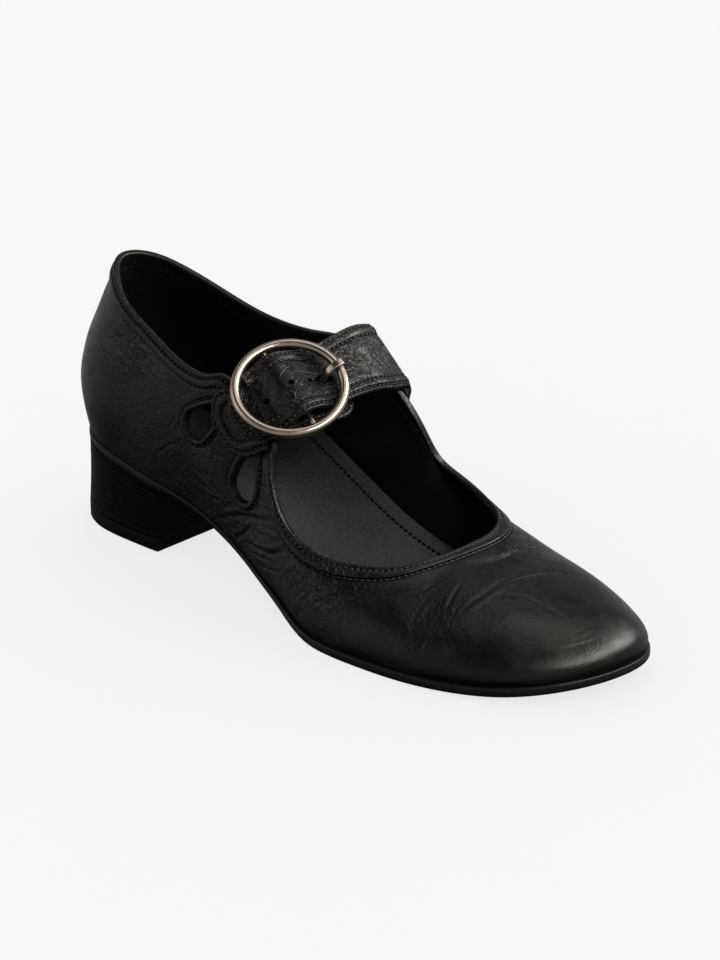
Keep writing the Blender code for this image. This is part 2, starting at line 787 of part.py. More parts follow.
def make_straps(collection, cutters, tree):
    """The tab on the lateral quarter, the strap over the instep and the loop round the bar."""
    tab_path = np.vstack([ring_rows(TAB_RING), shoe_rows(TAB_QUARTER)])
    ribbon("buckle_tab", tab_path, TAB_ROWS, TAB_THICK, collection, tree=tree, ends=TAB_ENDS)
    strap_path = np.vstack([shoe_rows(STRAP_MEDIAL), ring_rows(STRAP_RING)])
    strap = ribbon(
        "strap", strap_path, STRAP_ROWS, STRAP_THICK, collection, tree=tree, ends=STRAP_ENDS
    )
    cut_holes(strap, cutters)
    loop_path = path_in_ring(LOOP_PATH, LOOP_HALF)
    loop = ribbon("buckle_loop", loop_path, LOOP_ROWS, LOOP_THICK, collection, columns=LOOP_COLUMNS)
    low, high = np.array([LOOP_SLOT_LONG, LOOP_SLOT_WIDE, LOOP_SLOT_DEEP]).T
    bpy.ops.mesh.primitive_cube_add(size=MM)
    frame = ring_frame(*(low + high) / 2) @ Matrix.Diagonal((*(high - low), 1))
    cut(loop, placed("loop_slot", frame, cutters))


def make_buckle(collection, cutters):
    """The ring with its centre bar, joined as one casting, and the prong."""
    bpy.ops.mesh.primitive_torus_add(
        major_radius=RING_RADIUS * MM,
        minor_radius=WIRE_RADIUS * MM,
        major_segments=RING_STEPS,
        minor_segments=WIRE_STEPS,
    )
    ring = placed("buckle_ring", ring_frame(), collection)
    bpy.ops.mesh.primitive_cylinder_add(
        vertices=BAR_STEPS, radius=BAR_RADIUS * MM, depth=2 * RING_RADIUS * MM
    )
    across = Matrix.Rotation(math.pi / 2, 4, "X")
    cut(ring, placed("centre_bar", ring_frame(lift=-BAR_DROP) @ across, cutters), "UNION")
    prong_path = path_in_ring(PRONG_PATH, PRONG_HALF, PRONG_ASIDE)
    ribbon("buckle_prong", prong_path, PRONG_ROWS, PRONG_THICK, collection, columns=1)


def main():
    for thing in list(bpy.data.objects):
        bpy.data.objects.remove(thing, do_unlink=True)
    shoe = bpy.data.collections.new(COLLECTION)
    cutters = bpy.data.collections.new(CUTTERS)
    for collection in (shoe, cutters):
        bpy.context.scene.collection.children.link(collection)
    upper = make_upper(shoe)
    mesh = upper.data
    tree = BVHTree.FromPolygons([v.co for v in mesh.vertices], [p.vertices for p in mesh.polygons])
    cut_teardrops(upper, cutters)
    make_outsole(shoe)
    make_insole(shoe)
    make_heel(shoe)
    make_straps(shoe, cutters, tree)
    make_buckle(shoe, cutters)


main()
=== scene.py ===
"""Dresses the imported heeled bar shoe: leather upper with its lining, sock, straps, buckle, sole and heel.

Sizes in the tables are millimetres on the shoe's own axes: x from the heel back to the toe, y to
the medial side, z up from the floor. to_world() turns them into the frame's metres.
"""

import math

import bmesh
import bpy
import numpy as np
from bpy.props import FloatProperty, FloatVectorProperty, PointerProperty
from mathutils import Matrix, Vector
from mathutils.bvhtree import BVHTree


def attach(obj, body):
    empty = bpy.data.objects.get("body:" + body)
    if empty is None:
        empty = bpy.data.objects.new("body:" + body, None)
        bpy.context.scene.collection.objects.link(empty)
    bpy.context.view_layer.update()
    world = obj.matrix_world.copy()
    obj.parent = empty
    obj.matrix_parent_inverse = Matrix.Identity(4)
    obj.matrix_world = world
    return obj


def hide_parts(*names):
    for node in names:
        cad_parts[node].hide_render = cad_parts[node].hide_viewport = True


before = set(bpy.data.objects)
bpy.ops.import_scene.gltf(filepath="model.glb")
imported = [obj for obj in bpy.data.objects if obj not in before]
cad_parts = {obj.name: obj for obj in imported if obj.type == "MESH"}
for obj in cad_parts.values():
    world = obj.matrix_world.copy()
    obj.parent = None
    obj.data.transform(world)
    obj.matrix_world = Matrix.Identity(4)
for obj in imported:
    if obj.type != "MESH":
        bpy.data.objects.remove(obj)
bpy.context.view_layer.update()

bl_info = {
    "name": "Heeled bar shoe",
    "version": (1, 0, 0),
    "blender": (4, 5, 0),
    "location": "View3D > Sidebar > Shoe",
    "description": "Makes the leather, lining, stitches, buckle and heel of a bar shoe on its packed frame",
    "category": "Add Mesh",
}

MM = 0.001
PLAN_CENTRE = (122.39, -4.8)
SEED = 7
BODY = "root"

# Bottom profile of the last, as the solids have it
SEAT_BACK_Z = 36.7
SEAT_FRONT_X = 55.0
SEAT_FRONT_Z = 29.0
BALL_X = 150.0
ROLL_X = 182.0
TOE_X = 244.0
TOE_SPRING = 5.2
GAP = 0.3
INSOLE_BEVEL = 1.2
LEDGE_FORE = 1.3
LEDGE_REAR = 0.5
LEDGE_FROM_X = 90.0
LEDGE_TO_X = 140.0
WAIST_BEVEL = 1.6
BEVEL_RUN = 15.0
ARCH_RISE = 22.0
ARCH_REAR = (35.0, 85.0)
ARCH_FRONT = (85.0, 188.0)
ARCH_POWER = 3.0
ARCH_LEAST = 1.0
SOCK_SINK = 0.6
BREAST_X = 53.0
HEEL_INSET = -0.3
HEEL_TAPER = 2.2
HEEL_FLARE = 1.6
HEEL_WAIST = 0.3
SMALL = 0.01
HALVINGS = 30
WELD = 0.004
# Angles in degrees from which an edge stays crisp
CRISP = 50.0
HEEL_CRISP = 35.0
UPPER_CRISP = 60.0
SEARCH_STEPS = 600

# One row for each rib of the upper: its foot on the feather line, its top on the topline, and
# how it leaves them
STATIONS = """
name             foot_x foot_y  top_x top_y  top_z  rise splay reach pitch
heel_back           4     0      13     0    97.6   28    18    26    69
heel_back_lat       9.8 -16.8    18.7 -10.6  94.8   28    16.5  26    69.5
heel_corner_lat    21   -24      30   -17.8  89     28    14    24    72
heel_side_lat      38   -27      47   -22    82.7   26    10    20    76
heel_breast_lat    56   -28      66   -26    77     24     7    16    80
waist_rear_lat     74   -27      82   -27.5  76     24     9    16    82
strap_back_lat     92   -28      93   -26.5  76.4   26    12    20    78
strap_mid_lat     103   -30     104   -25.1  67.6   23    15    20    78
strap_front_lat   113   -32.5   114   -28    61.5   19    16    18    78
throat_rear_lat   123   -35.3   116.3 -31    53     15    16    14    76
throat_low_lat    135   -39.7   125   -34.8  37.6   12    14    10    70
ball_rear_lat     149   -43.5   140.5 -35.2  29.6   11    12     9    60
ball_lat          166   -44.1   154   -31    28     11    11    10    46
ball_front_lat    184   -42.5   165   -24    28     11    11    14    32
toe_side_lat      203   -38.5   172   -14    29.5   11    12    22    22
toe_corner_lat    221   -31     175    -5    30.5   11    13    31    15
toe_front_lat     235   -17     176.5   2    31.5   11    16    37    11
toe_tip           242.5   1     177     8.5  32     12.6  23    38    11
toe_front_med     241.5  15.5   176    15    32.3   12.5  27    31    14
toe_corner_med    233.5  26     173.5  20.5  33      9.5  21    21    23
toe_side_med      217    32.5   167.5  26    34      7    14    13    40
ball_med          195    34.5   157    29.3  37      7    12    10    60
ball_rear_med     175    34     146    30.7  40     11    11    11    66
throat_rear_med   155    30     137    29.6  46     16     9    14    74
strap_front_med   137    26     130    25.6  61     22     9    18    80
strap_back_med    114    22.5   106    24    78.6   24    10    20    80
waist_rear_med     92    21.5    85    24.5  78.8   24    10    18    82
heel_breast_med    70    22.5    66    24    78.5   24    10    18    80
heel_side_med      46    25.5    48    22    82.5   26     9    20    76
heel_corner_med    25    24      31    17.5  89.5   28    11    24    74
heel_back_med      10.5  16.8    18.8  10.8  95.2   28    13    26    72
"""

CUT_OUTS = """
name     round_x round_z point_x point_z radius
rear       78.2    57.0    95      69.9   5.1
front     103.3    41.8   104.8    57.5   5.5
"""
CUT_DEPTH = (-45.0, -15.0)
CUT_STEPS = 24
CUT_SWELL = 1.5

# Creases of the leather, set against the photograph: width, depth, which side is puffed
# up, then the points of the line, in x and z on the lateral wall and in x and y on the vamp
WALL_CREASES = """
waist_fold_top     0.85 0.42  1   89 25  102 31  117 34.5  123 37
waist_fold_cross   0.72 0.28  1   95 18  102 23.5  111 31
waist_fold_low     0.85 0.38  1   103.5 21.5  114 23  126.5 26.5  131 30
waist_fold_pinch   0.65 0.24 -1   111 30  120 33  127 31.5
waist_fine_a       0.48 0.17  1   99 27  110 28.5  120 30
waist_fine_b       0.48 0.16 -1   101 18  112 19.5  124 22.5
waist_fine_c       0.45 0.15  1   108 15.5  118 17  130 21
waist_fine_d       0.45 0.14  1   92 30  99 35  104 37
waist_fine_e       0.45 0.14 -1   109 37.5  116 38.5  122 40
waist_rear_a       0.60 0.15  1   62 33.5  70 30.5  78 26
waist_rear_b       0.60 0.15  1   77 31.5  89 32  95 31
waist_rear_c       0.60 0.13 -1   74 42.5  83.5 38  91 35
throat_a           0.45 0.18  1   136.5 26  133 22  129 18
throat_b           0.45 0.20  1   143 26  139 21  132 14.5
throat_c           0.50 0.21 -1   147 25.5  143 20.5  137 13
throat_d           0.50 0.21  1   152 24.5  147.5 21  141 14
throat_e           0.45 0.18 -1   157 22.5  151 18.5  146 14
throat_f           0.45 0.16  1   163 21.5  158 18.5  154 13
cut_rear_a         0.48 0.12  1   56 39.5  65 46  71 49.5
cut_rear_b         0.42 0.08  1   60 49  67 56  69 60
cut_rear_c         0.42 0.08 -1   63 60  71 66  80 71
cut_rear_d         0.42 0.08  1   59.5 68  69 69  78 71
cut_rear_e         0.42 0.09  1   72 50  82.5 51  87 56
cut_rear_f         0.42 0.08 -1   56.5 38.5  58 32.5  64 31
cut_rear_g         0.42 0.09  1   88 47  89 53  91 57
cut_front_a        0.48 0.12  1   108 45  112 45.5  117 44
cut_front_b        0.48 0.12 -1   107 37  114 40  120 41
cut_front_c        0.42 0.08  1   95 50  93 44  96 38
collar_a           0.52 0.13  1   26 83  33 81  39 79
collar_b           0.52 0.15  1   24 78.5  34 77  43 75.5
collar_c           0.52 0.13 -1   31 79  36 75  45 73
collar_d           0.52 0.13  1   37 82  40 78  45 74
collar_e           0.52 0.13  1   41 75  51.5 72  60 69
collar_f           0.52 0.11 -1   46 70  54 68  62 66
collar_g           0.52 0.11  1   22 74  28 71  33 66
"""
VAMP_CREASES = """
flex_a             0.59 0.15  1   183 -26  184 -34  187 -38.5
flex_b             0.59 0.17  1   190 -22  191 -31  192 -40
flex_c             0.59 0.15 -1   191 -26  193 -36  190 -41
flex_d             0.52 0.13  1   194 -20  195 -26  197 -32
flex_e             0.59 0.15 -1   194 -30  190 -22  188 -14
long_crease        0.90 0.27  1   196 -25  197 -17  198 -6  200 4  204 13  211 20
long_branch        0.86 0.14  1   201 -13  209 -6  217 -5  223 -4
upper_crease       0.98 0.19 -1   182 -9  188 3  189 18
side_a             0.52 0.15  1   175 -31  178 -27  181 -20
side_b             0.52 0.15 -1   170 -33  174 -28  178 -24
toe_a              0.45 0.09  1   226 -14  230 -8  231 0
toe_b              0.45 0.09 -1   229 -16  234 -9  236 -2
"""
# Broad hollows and swells of the leather: middle, reach and height
SWELLS = """
name            x    y    z   reach height
vamp_hollow    191    4   30   10   -0.8
vamp_swell     213  -17   22   12    0.5
flex_hollow    186  -30   20    8   -0.5
fold_puff      117  -35   27    6    0.7
collar_puff     40  -24   76   10    0.25
quarter_puff    85  -30   45   12    0.4
medial_hollow  190   22   27   10   -0.5
"""
# Where the leather is finely crackled: middle, reach and amount; the amount also sets how far painted shade
# darkens the wrinkle lines
CRACKLE = """
name            x    y    z   reach amount
collar_side     38  -24   76   20    0.9
cut_outs        88  -30   52   26    0.75
waist          100  -31   28   24    1.0
quarter         60  -28   55   30    0.5
counter         22  -20   62   20    0.3
ball           145  -40   20   22    0.7
flex           190  -32   18   18    0.35
vamp           200   -8   26   24    0.22
toe            232   -6   16   12    0.13
medial_flex    190   30   20   24    0.6
medial_quarter 105   24   50   35    0.6
heel_back       14    4   60   20    0.25
"""

RING_CENTRE = (114.6, -20.0, 77.9)
RING_TURN = 43.0
RING_TILT = 57.0
STRAP_HEADING = (-0.2, -1.0, 0.0)
BAR_DROP = 1.5
STRAP_MEDIAL = """
name           x      y     z    turn_x turn_y turn_z half
sewn_end     103.5   27.5  52.0   0.86   0.04  -0.51   14.0
sewn_round   104.6   27.5  54.0   0.86   0.04  -0.51   14.2
quarter      110.6   27.4  63.5   0.82  -0.02  -0.57   14.3
topline      115.6   27.1  72.1   0.77  -0.10  -0.63   14.6
fold         117.4   24.1  76.7   0.77  -0.11  -0.63   14.6
instep       117.6   13.0  79.8   0.80  -0.06  -0.60   13.3
"""
STRAP_RING = """
name          along aside lift  tilt  half
rim_right    -18.5  -1.4  -5.2  0.00  13.1
rise         -10.0  -1.1  -2.8  0.00  13.4
rise_end      -4.0  -0.9   1.0  0.00  13.7
bar            0.0  -0.8   2.1  0.00  13.8
fall_start     4.0  -0.8   1.0  0.00  13.8
fall          10.0  -0.8  -3.2 -0.02  13.4
rim_left      15.5  -0.6  -4.9 -0.09  13.0
tip           21.0  -0.3  -6.2 -0.18  12.4
"""
HOLE_DEPTH = 16.0
HOLE_STEPS = 32
HOLES = """
name     along  aside  radius stretch
used     -12.5   1.0   1.9    1.75
next      -7.6   0.4   1.1    1.0
middle    -0.6   0.0   1.1    1.0
last       9.2   0.0   1.1    1.0
"""
TAB_RING = """
name          along aside lift   tilt  half
free_end     -20.5   2.0 -10.6   0.00  13.2
free_round   -17.5   2.0  -9.8   0.00  13.3
under_rise    -9.0   1.6  -7.4   0.00  13.4
under_bar      0.0   1.0  -6.2   0.00  13.4
under_fall     8.0   0.2  -7.0  -0.04  13.4
over_edge     13.0  -0.3  -7.9  -0.12  13.4
"""
TAB_QUARTER = """
name           x      y     z    turn_x turn_y turn_z half
patch        101.6  -30.5  65.5   0.76  -0.06  -0.65   13.4
patch_round   95.8  -31.0  60.6   0.74  -0.06  -0.67   13.2
patch_end     92.0  -31.2  57.4   0.74  -0.06  -0.67   13.0
"""
LOOP_THICK = 0.9
LOOP_HALF = 9.0
LOOP_ROUND = 0.4
LOOP_STEPS = 60
LOOP_COLUMNS = 18
LOOP_SLOT_LONG = (-9.0, 3.6)
LOOP_SLOT_WIDE = (-2.6, 2.6)
LOOP_SLOT_DEEP = (-7.0, 3.0)
LOOP_PATH = """
name        along lift
rear_foot    7.5  -4.9
rear_turn    4.0  -4.4
rear_side    2.3  -2.9
rear_top     1.4  -0.5
crown        0.0   0.3
front_top   -1.4  -0.5
front_side  -2.3  -2.9
front_turn  -4.0  -4.5
front_foot  -7.5  -5.0
"""
PRONG_THICK = 1.0
PRONG_HALF = 1.3
PRONG_ASIDE = 1.0
PRONG_ROUND = 0.5
PRONG_STEPS = 90
PRONG_COLUMNS = 14
PRONG_PATH = """
name        along lift
eye_start    0.4  -3.3
eye_rear     1.8  -1.5
eye_top      0.2   0.3
eye_front   -1.7  -1.1
under_strap -4.5  -3.1
rising      -9.5  -4.8
through    -12.3  -3.0
clear      -14.6   0.5
climb      -16.4   1.9
rim        -18.3   2.5
tip        -20.3   2.5
"""

# Camera fitted to the photograph: turn from +x and height in degrees, distance and what it looks at in
# millimetres, and the focal length for a 36 mm sensor on the long side of the picture
CAMERA_TURN = -47.0
CAMERA_HEIGHT = 23.0
CAMERA_DISTANCE = 1100.0
CAMERA_TARGET = (117.3, 11.9, 35.0)
CAMERA_LENS = 117.975
SENSOR = 36.0


def length(label, use, default):
    """A length in metres that a user can change."""
    return FloatProperty(name=label, description=use, default=default, unit="LENGTH")


def shade(label, use, *default):
    """A colour that a user can change."""
    return FloatVectorProperty(name=label, description=use, default=default, subtype="COLOR")


def strength(label, use, default, unit="NONE"):
    """A strength of light that a user can change."""
    return FloatProperty(name=label, description=use, default=default, min=0.0, unit=unit)


class ShoeSizes(bpy.types.PropertyGroup):
    """Sizes of the shoe's pieces."""

    wall: length("Wall", "Thickness of the upper with its lining", 0.0018)
    band: length("Band", "Width of the stitched band along the topline", 0.0046)
    band_raise: length("Band raise", "How far the topline band stands up", 0.0006)
    outsole: length("Outsole", "Thickness of the outsole", 0.0032)
    insole: length("Insole", "Thickness of the insole with its sock", 0.0018)
    top_piece: length("Top piece", "Thickness of the layer under the heel", 0.0052)
    lift: length("Heel layer", "Thickness of one layer of the stacked heel", 0.0027)
    strap: length("Strap", "Thickness of the strap and the tab", 0.0018)
    ring: length("Ring", "Radius of the ring at the middle of its wire", 0.01865)
    wire: length("Wire", "Radius of the ring's wire", 0.00165)
    bar: length("Bar", "Radius of the bar across the ring", 0.0010)
    stitch: length("Stitch", "Distance from one stitch to the next", 0.0021)
    thread: length("Thread", "Radius of the sewing thread", 0.00033)
    crease: FloatProperty(
        name="Creases", description="Depth of all creases, 1 as in the tables", default=1.3, subtype="FACTOR"
    )


class ShoeColours(bpy.types.PropertyGroup):
    """Colours of the shoe's materials."""

    leather: shade("Leather", "Black leather of the upper", 0.0019, 0.0017, 0.0013)
    leather_worn: shade("Worn leather", "Leather where it is rubbed", 0.0030, 0.0026, 0.0020)
    lining: shade("Lining", "Lining inside the upper", 0.0042, 0.0042, 0.0041)
    sock: shade("Sock", "Grey sock on the insole", 0.0098, 0.0096, 0.0093)
    sole: shade("Sole", "Waxed sole and its edge", 0.0040, 0.0039, 0.0037)
    heel: shade("Heel", "Stacked heel block", 0.0016, 0.0014, 0.0009)
    rubber: shade("Rubber", "Top piece under the heel", 0.0016, 0.0016, 0.0015)
    metal: shade("Metal", "Warm nickel of the buckle", 0.36, 0.295, 0.235)
    thread: shade("Thread", "Sewing thread", 0.0080, 0.0074, 0.0064)
    floor: shade("Floor", "Pale studio floor", 0.90, 0.90, 0.90)


class StudioLight(bpy.types.PropertyGroup):
    """Strengths of the studio light."""

    surround: strength("Surround", "Dim light from all round", 0.55)
    glow: strength("Floor glow", "Light of the floor, which is lit from below", 0.745)
    key: strength("Key light", "Long soft box round the toe", 46.0, "POWER")
    overhead: strength("Overhead", "Wide soft box above and behind", 4.2, "POWER")
    fill: strength("Fill light", "Soft box to the left of the heel", 2.5, "POWER")


def size(name):
    """A size of the shoe in millimetres."""
    return getattr(bpy.context.scene.shoe_sizes, name) / MM


def colour(name):
    """A colour of the shoe with full opacity."""
    return (*getattr(bpy.context.scene.shoe_colours, name), 1.0)


# Tables and curves


def rows_of(text):
    """Reads a table of named columns as a dict of number arrays."""
    lines = [line.split() for line in text.strip().splitlines()]
    numbers = np.array([[float(word) for word in line[1:]] for line in lines[1:]])
    return {name: numbers[:, k] for k, name in enumerate(lines[0][1:])}


def named_rows(text):
    """Reads a table as a dict of its rows by name, each a dict of numbers by column."""
    head, *lines = [line.split() for line in text.strip().splitlines()]
    return {line[0]: dict(zip(head[1:], map(float, line[1:]))) for line in lines}


def second_slopes(knots, values, closed):
    """Second derivatives of the cubic spline through the values at the knots."""
    step = np.diff(knots)
    count = len(values)
    grid = np.zeros((count, count))
    right = np.zeros_like(values)
    for k in range(count):
        if not closed and k in (0, count - 1):
            grid[k, k] = 1.0
            continue
        before, after = step[k - 1], step[k]
        ahead = (k + 1) % count
        grid[k, k - 1] += before
        grid[k, k] += 2 * (before + after)
        grid[k, ahead] += after
        right[k] = 6 * ((values[ahead] - values[k]) / after - (values[k] - values[k - 1]) / before)
    return np.linalg.solve(grid, right)


class Spline:
    """Cubic spline through rows of values, spaced by the length of a guide line through them."""

    def __init__(self, guide, values, closed=False):
        ends = np.vstack([guide, guide[:1]]) if closed else guide
        self.knots = walked_along(ends)
        self.length = self.knots[-1]
        self.bend = second_slopes(self.knots, values, closed)
        self.values = values
        self.closed = closed

    def at(self, place, slope=False):
        """Values, or their slopes, at places along the guide."""
        place = np.mod(place, self.length) if self.closed else np.clip(place, 0.0, self.length)
        k = np.clip(np.searchsorted(self.knots, place, side="right") - 1, 0, len(self.knots) - 2)
        ahead = (k + 1) % len(self.values)
        step = (self.knots[k + 1] - self.knots[k])[..., None]
        b = (place[..., None] - self.knots[k][..., None]) / step
        a = 1.0 - b
        start, end = self.values[k], self.values[ahead]
        bend_start, bend_end = self.bend[k], self.bend[ahead]
        if slope:
            curve = (3 * b * b - 1) * bend_end - (3 * a * a - 1) * bend_start
            return (end - start) / step + curve * step / 6
        curve = (a**3 - a) * bend_start + (b**3 - b) * bend_end
        return a * start + b * end + curve * step**2 / 6


def smooth_step(value, low, high):
    """Rises from 0 at low to 1 at high."""
    part = np.clip((value - low) / (high - low), 0.0, 1.0)
    return part * part * (3 - 2 * part)


def hump(value, middle, reach):
    """Soft hump of height 1 round a middle."""
    return np.exp(-(((value - middle) / reach) ** 2))


def unit(vectors):
    """Vectors at length 1."""
    return vectors / np.linalg.norm(vectors, axis=-1, keepdims=True)


def walked_along(line):
    """Length walked along a line of points up to each of them."""
    return np.concatenate([[0.0], np.cumsum(np.linalg.norm(np.diff(line, axis=0), axis=1))])


def between_points(length_in, walked, line):
    """The point at a length walked along a line, or the same for the line's normals."""
    return np.array([np.interp(length_in, walked, line[:, axis]) for axis in range(3)])


def turns(count):
    """Angles spread evenly round a full turn."""
    return np.linspace(0, 2 * np.pi, count, endpoint=False)


def bed(x):
    """Height of the outsole's top at x: straight heel seat, curved waist, flat ball, toe spring."""
    x = np.asarray(x, float)
    sole = size("outsole")
    fall = (SEAT_FRONT_Z - SEAT_BACK_Z) / SEAT_FRONT_X
    span = BALL_X - SEAT_FRONT_X
    part = np.clip((x - SEAT_FRONT_X) / span, 0.0, 1.0)
    waist = (2 * part**3 - 3 * part**2 + 1) * SEAT_FRONT_Z
    waist += (part**3 - 2 * part**2 + part) * span * fall + (3 * part**2 - 2 * part**3) * sole
    toe = sole + TOE_SPRING * np.clip((x - ROLL_X) / (TOE_X - ROLL_X), 0.0, None) ** 2
    return np.where(x < SEAT_FRONT_X, SEAT_BACK_Z + fall * x, np.where(x < BALL_X, waist, toe))


# The upper's own surface

STATION_ROWS = np.column_stack(list(rows_of(STATIONS).values()))
RIBS = Spline(STATION_ROWS[:, :2], STATION_ROWS, closed=True)
TOE_PLACE = RIBS.knots[int(np.argmax(STATION_ROWS[:, 0]))]


def places_around(count):
    """Places on the feather line, as many on the lateral side as on the medial side."""
    half = count // 2
    lateral = TOE_PLACE * np.arange(half) / half
    medial = TOE_PLACE + (RIBS.length - TOE_PLACE) * np.arange(half) / half
    return np.concatenate([lateral, medial])


def plan_normal(place):
    """Outward direction of the feather line in plan."""
    slope = RIBS.at(place, slope=True)
    return unit(np.stack([slope[..., 1], -slope[..., 0]], -1))


def rib_point(place, rise):
    """Point of the outer surface on the rib at a place, from 0 at its foot to 1 at the topline."""
    row = RIBS.at(place)
    foot_x, foot_y, top_x, top_y, top_z, low, splay, reach, pitch = np.moveaxis(row, -1, 0)
    flat = plan_normal(place)
    out = np.concatenate([flat, np.zeros(flat.shape[:-1] + (1,))], -1)
    up = np.zeros_like(out)
    up[..., 2] = 1.0
    foot = np.stack([foot_x, foot_y, bed(foot_x) + GAP], -1)
    top = np.stack([top_x, top_y, top_z], -1)
    splay, pitch = np.radians(splay)[..., None], np.radians(pitch)[..., None]
    near_foot = foot + low[..., None] * (out * np.sin(splay) + up * np.cos(splay))
    near_top = top + reach[..., None] * (out * np.cos(pitch) - up * np.sin(pitch))
    t = np.asarray(rise)[..., None]
    s = 1 - t
    return s**3 * foot + 3 * s**2 * t * near_foot + 3 * s * t**2 * near_top + t**3 * top


def skin_normal(place, rise):
    """Outward direction of the outer surface."""
    across = rib_point(place + SMALL, rise) - rib_point(place - SMALL, rise)
    along = rib_point(place, rise + SMALL) - rib_point(place, rise - SMALL)
    return unit(np.cross(across, along))


def skin_point(place, rise, offset):
    """Point at an offset out of the outer surface."""
    return rib_point(place, rise) + np.asarray(offset)[..., None] * skin_normal(place, rise)


def rise_below_top(place, distance):
    """Part of the rib at a distance below the topline."""
    top = np.ones_like(place)
    speed = np.linalg.norm(rib_point(place, top) - rib_point(place, top - SMALL), axis=-1)
    return 1.0 - np.clip(distance * SMALL / speed, 0.0, 0.5)


def rise_at_height(place, height):
    """Part of each rib where its outer surface reaches a height."""
    low, high = np.zeros_like(place), np.ones_like(place)
    for _ in range(HALVINGS):
        middle = (low + high) / 2
        under = rib_point(place, middle)[:, 2] < height
        low, high = np.where(under, middle, low), np.where(under, high, middle)
    return (low + high) / 2


# Meshes


def to_world(points):
    """Points of the shoe in millimetres as metres in the frame."""
    points = np.asarray(points, float)
    return (points - np.array([*PLAN_CENTRE, 0.0])) * MM


def make_piece(name, points, faces, materials, face_finish=None, weld=False, edge=None):
    """Makes a smooth shaded piece from points in millimetres and faces."""
    mesh = bpy.data.meshes.new(name)
    mesh.from_pydata(to_world(points).tolist(), [], [tuple(map(int, face)) for face in faces])
    for material in materials:
        mesh.materials.append(material)
    if face_finish is not None:
        mesh.polygons.foreach_set("material_index", np.asarray(face_finish, np.int32))
    if edge is not None:
        carry(mesh, "edge", edge)
    work = bmesh.new()
    work.from_mesh(mesh)
    if weld:
        bmesh.ops.remove_doubles(work, verts=work.verts, dist=WELD * MM)
    bmesh.ops.recalc_face_normals(work, faces=work.faces)
    work.to_mesh(mesh)
    work.free()
    mesh.shade_smooth()
    piece = bpy.data.objects.new(name, mesh)
    bpy.context.scene.collection.objects.link(piece)
    return piece


def belongs(piece, slot, *nodes):
    """Puts a piece on the shoe's body and hides the solids that it stands for; the finish slot is not used.
    """
    bpy.data.collections["lit_by_boxes"].objects.link(piece)
    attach(piece, BODY)
    if nodes:
        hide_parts(*nodes)


def carry(mesh, name, values):
    """Gives a mesh a number at each point for its material."""
    held = mesh.attributes.new(name, "FLOAT", "POINT")
    held.data.foreach_set("value", np.asarray(values, np.float32))


def sharpen(piece, degrees):
    """Keeps the edges that are sharper than an angle crisp."""
    piece.data.set_sharp_from_angle(angle=math.radians(degrees))


def plain_form(name, make, placement=None, **sizes):
    """An object of one of the basic mesh forms, with its sizes, at a placement."""
    work = bmesh.new()
    make(work, **sizes)
    mesh = bpy.data.meshes.new(name)
    work.to_mesh(mesh)
    work.free()
    if placement:
        mesh.transform(placement)
    made = bpy.data.objects.new(name, mesh)
    bpy.context.scene.collection.objects.link(made)
    return made


def cut_away(piece, cutter):
    """Cuts one object's form out of a piece and removes the cutter."""
    modifier = piece.modifiers.new("cut", "BOOLEAN")
    modifier.operation = "DIFFERENCE"
    modifier.solver = "EXACT"
    modifier.object = cutter
    graph = bpy.context.evaluated_depsgraph_get()
    result = bpy.data.meshes.new_from_object(piece.evaluated_get(graph))
    piece.modifiers.clear()
    old = piece.data
    piece.data = result
    result.name = piece.name
    bpy.data.meshes.remove(old)
    bpy.data.objects.remove(cutter, do_unlink=True)


def ring_faces(rows, count, wrap):
    """Quads between rows of points that each run right round."""
    faces = []
    for r in range(rows if wrap else rows - 1):
        low, high = r * count, (r + 1) % rows * count
        for k in range(count):
            ahead = (k + 1) % count
            faces.append((low + k, low + ahead, high + ahead, high + k))
    return faces


def nearest_on_line(points, line):
    """Distance from each point to a line, the part of the line where it is nearest, and the way there."""
    best = np.full(len(points), np.inf)
    where = np.zeros(len(points))
    away = np.zeros_like(points)
    for k, (start, end) in enumerate(zip(line, line[1:])):
        run = end - start
        part = np.clip(((points - start) @ run) / max(run @ run, SMALL**3), 0.0, 1.0)
        gap = points - start - part[:, None] * run
        far = np.linalg.norm(gap, axis=1)
        closer = far < best
        best = np.where(closer, far, best)
        where = np.where(closer, k + part, where)
        away = np.where(closer[:, None], gap, away)
    return best, where / (len(line) - 1), away


# Materials


def add(tree, kind, inputs=None, **settings):
    """Adds a node with its settings; an input is a value or another node's output."""
    made = tree.nodes.new(kind)
    for name, value in settings.items():
        setattr(made, name, value)
    for name, value in (inputs or {}).items():
        socket = made.inputs[name]
        if isinstance(value, bpy.types.NodeSocket):
            tree.links.new(value, socket)
        else:
            socket.default_value = value
    return made


def start_material(name, fixed):
    """A new material with fixed values on its shader, and the place on the piece in millimetres."""
    material = bpy.data.materials.new(name)
    material.use_nodes = True
    tree = material.node_tree
    shader = tree.nodes["Principled BSDF"]
    for socket, value in fixed.items():
        shader.inputs[socket].default_value = value
    place = add(tree, "ShaderNodeTexCoord").outputs["Object"]
    scaled = add(tree, "ShaderNodeVectorMath", {0: place, "Scale": 1 / MM}, operation="SCALE")
    return material, tree, shader, scaled.outputs["Vector"]


def noise(tree, place, scale, detail=3.0, output="Fac"):
    """Soft noise with patches of one over the scale."""
    inputs = {"Vector": place, "Scale": scale, "Detail": detail}
    return add(tree, "ShaderNodeTexNoise", inputs).outputs[output]


def spread(tree, value, low, high, to_low=0.0, to_high=1.0):
    """Maps a value between two limits to another range, softly."""
    inputs = {"Value": value, "From Min": low, "From Max": high, "To Min": to_low, "To Max": to_high}
    return add(tree, "ShaderNodeMapRange", inputs, interpolation_type="SMOOTHSTEP").outputs["Result"]


def blend_colours(tree, part, first, second):
    """The first colour where the part is 0, the second where it is 1."""
    made = add(tree, "ShaderNodeMix", {0: part, 6: first, 7: second}, data_type="RGBA")
    return made.outputs[2]


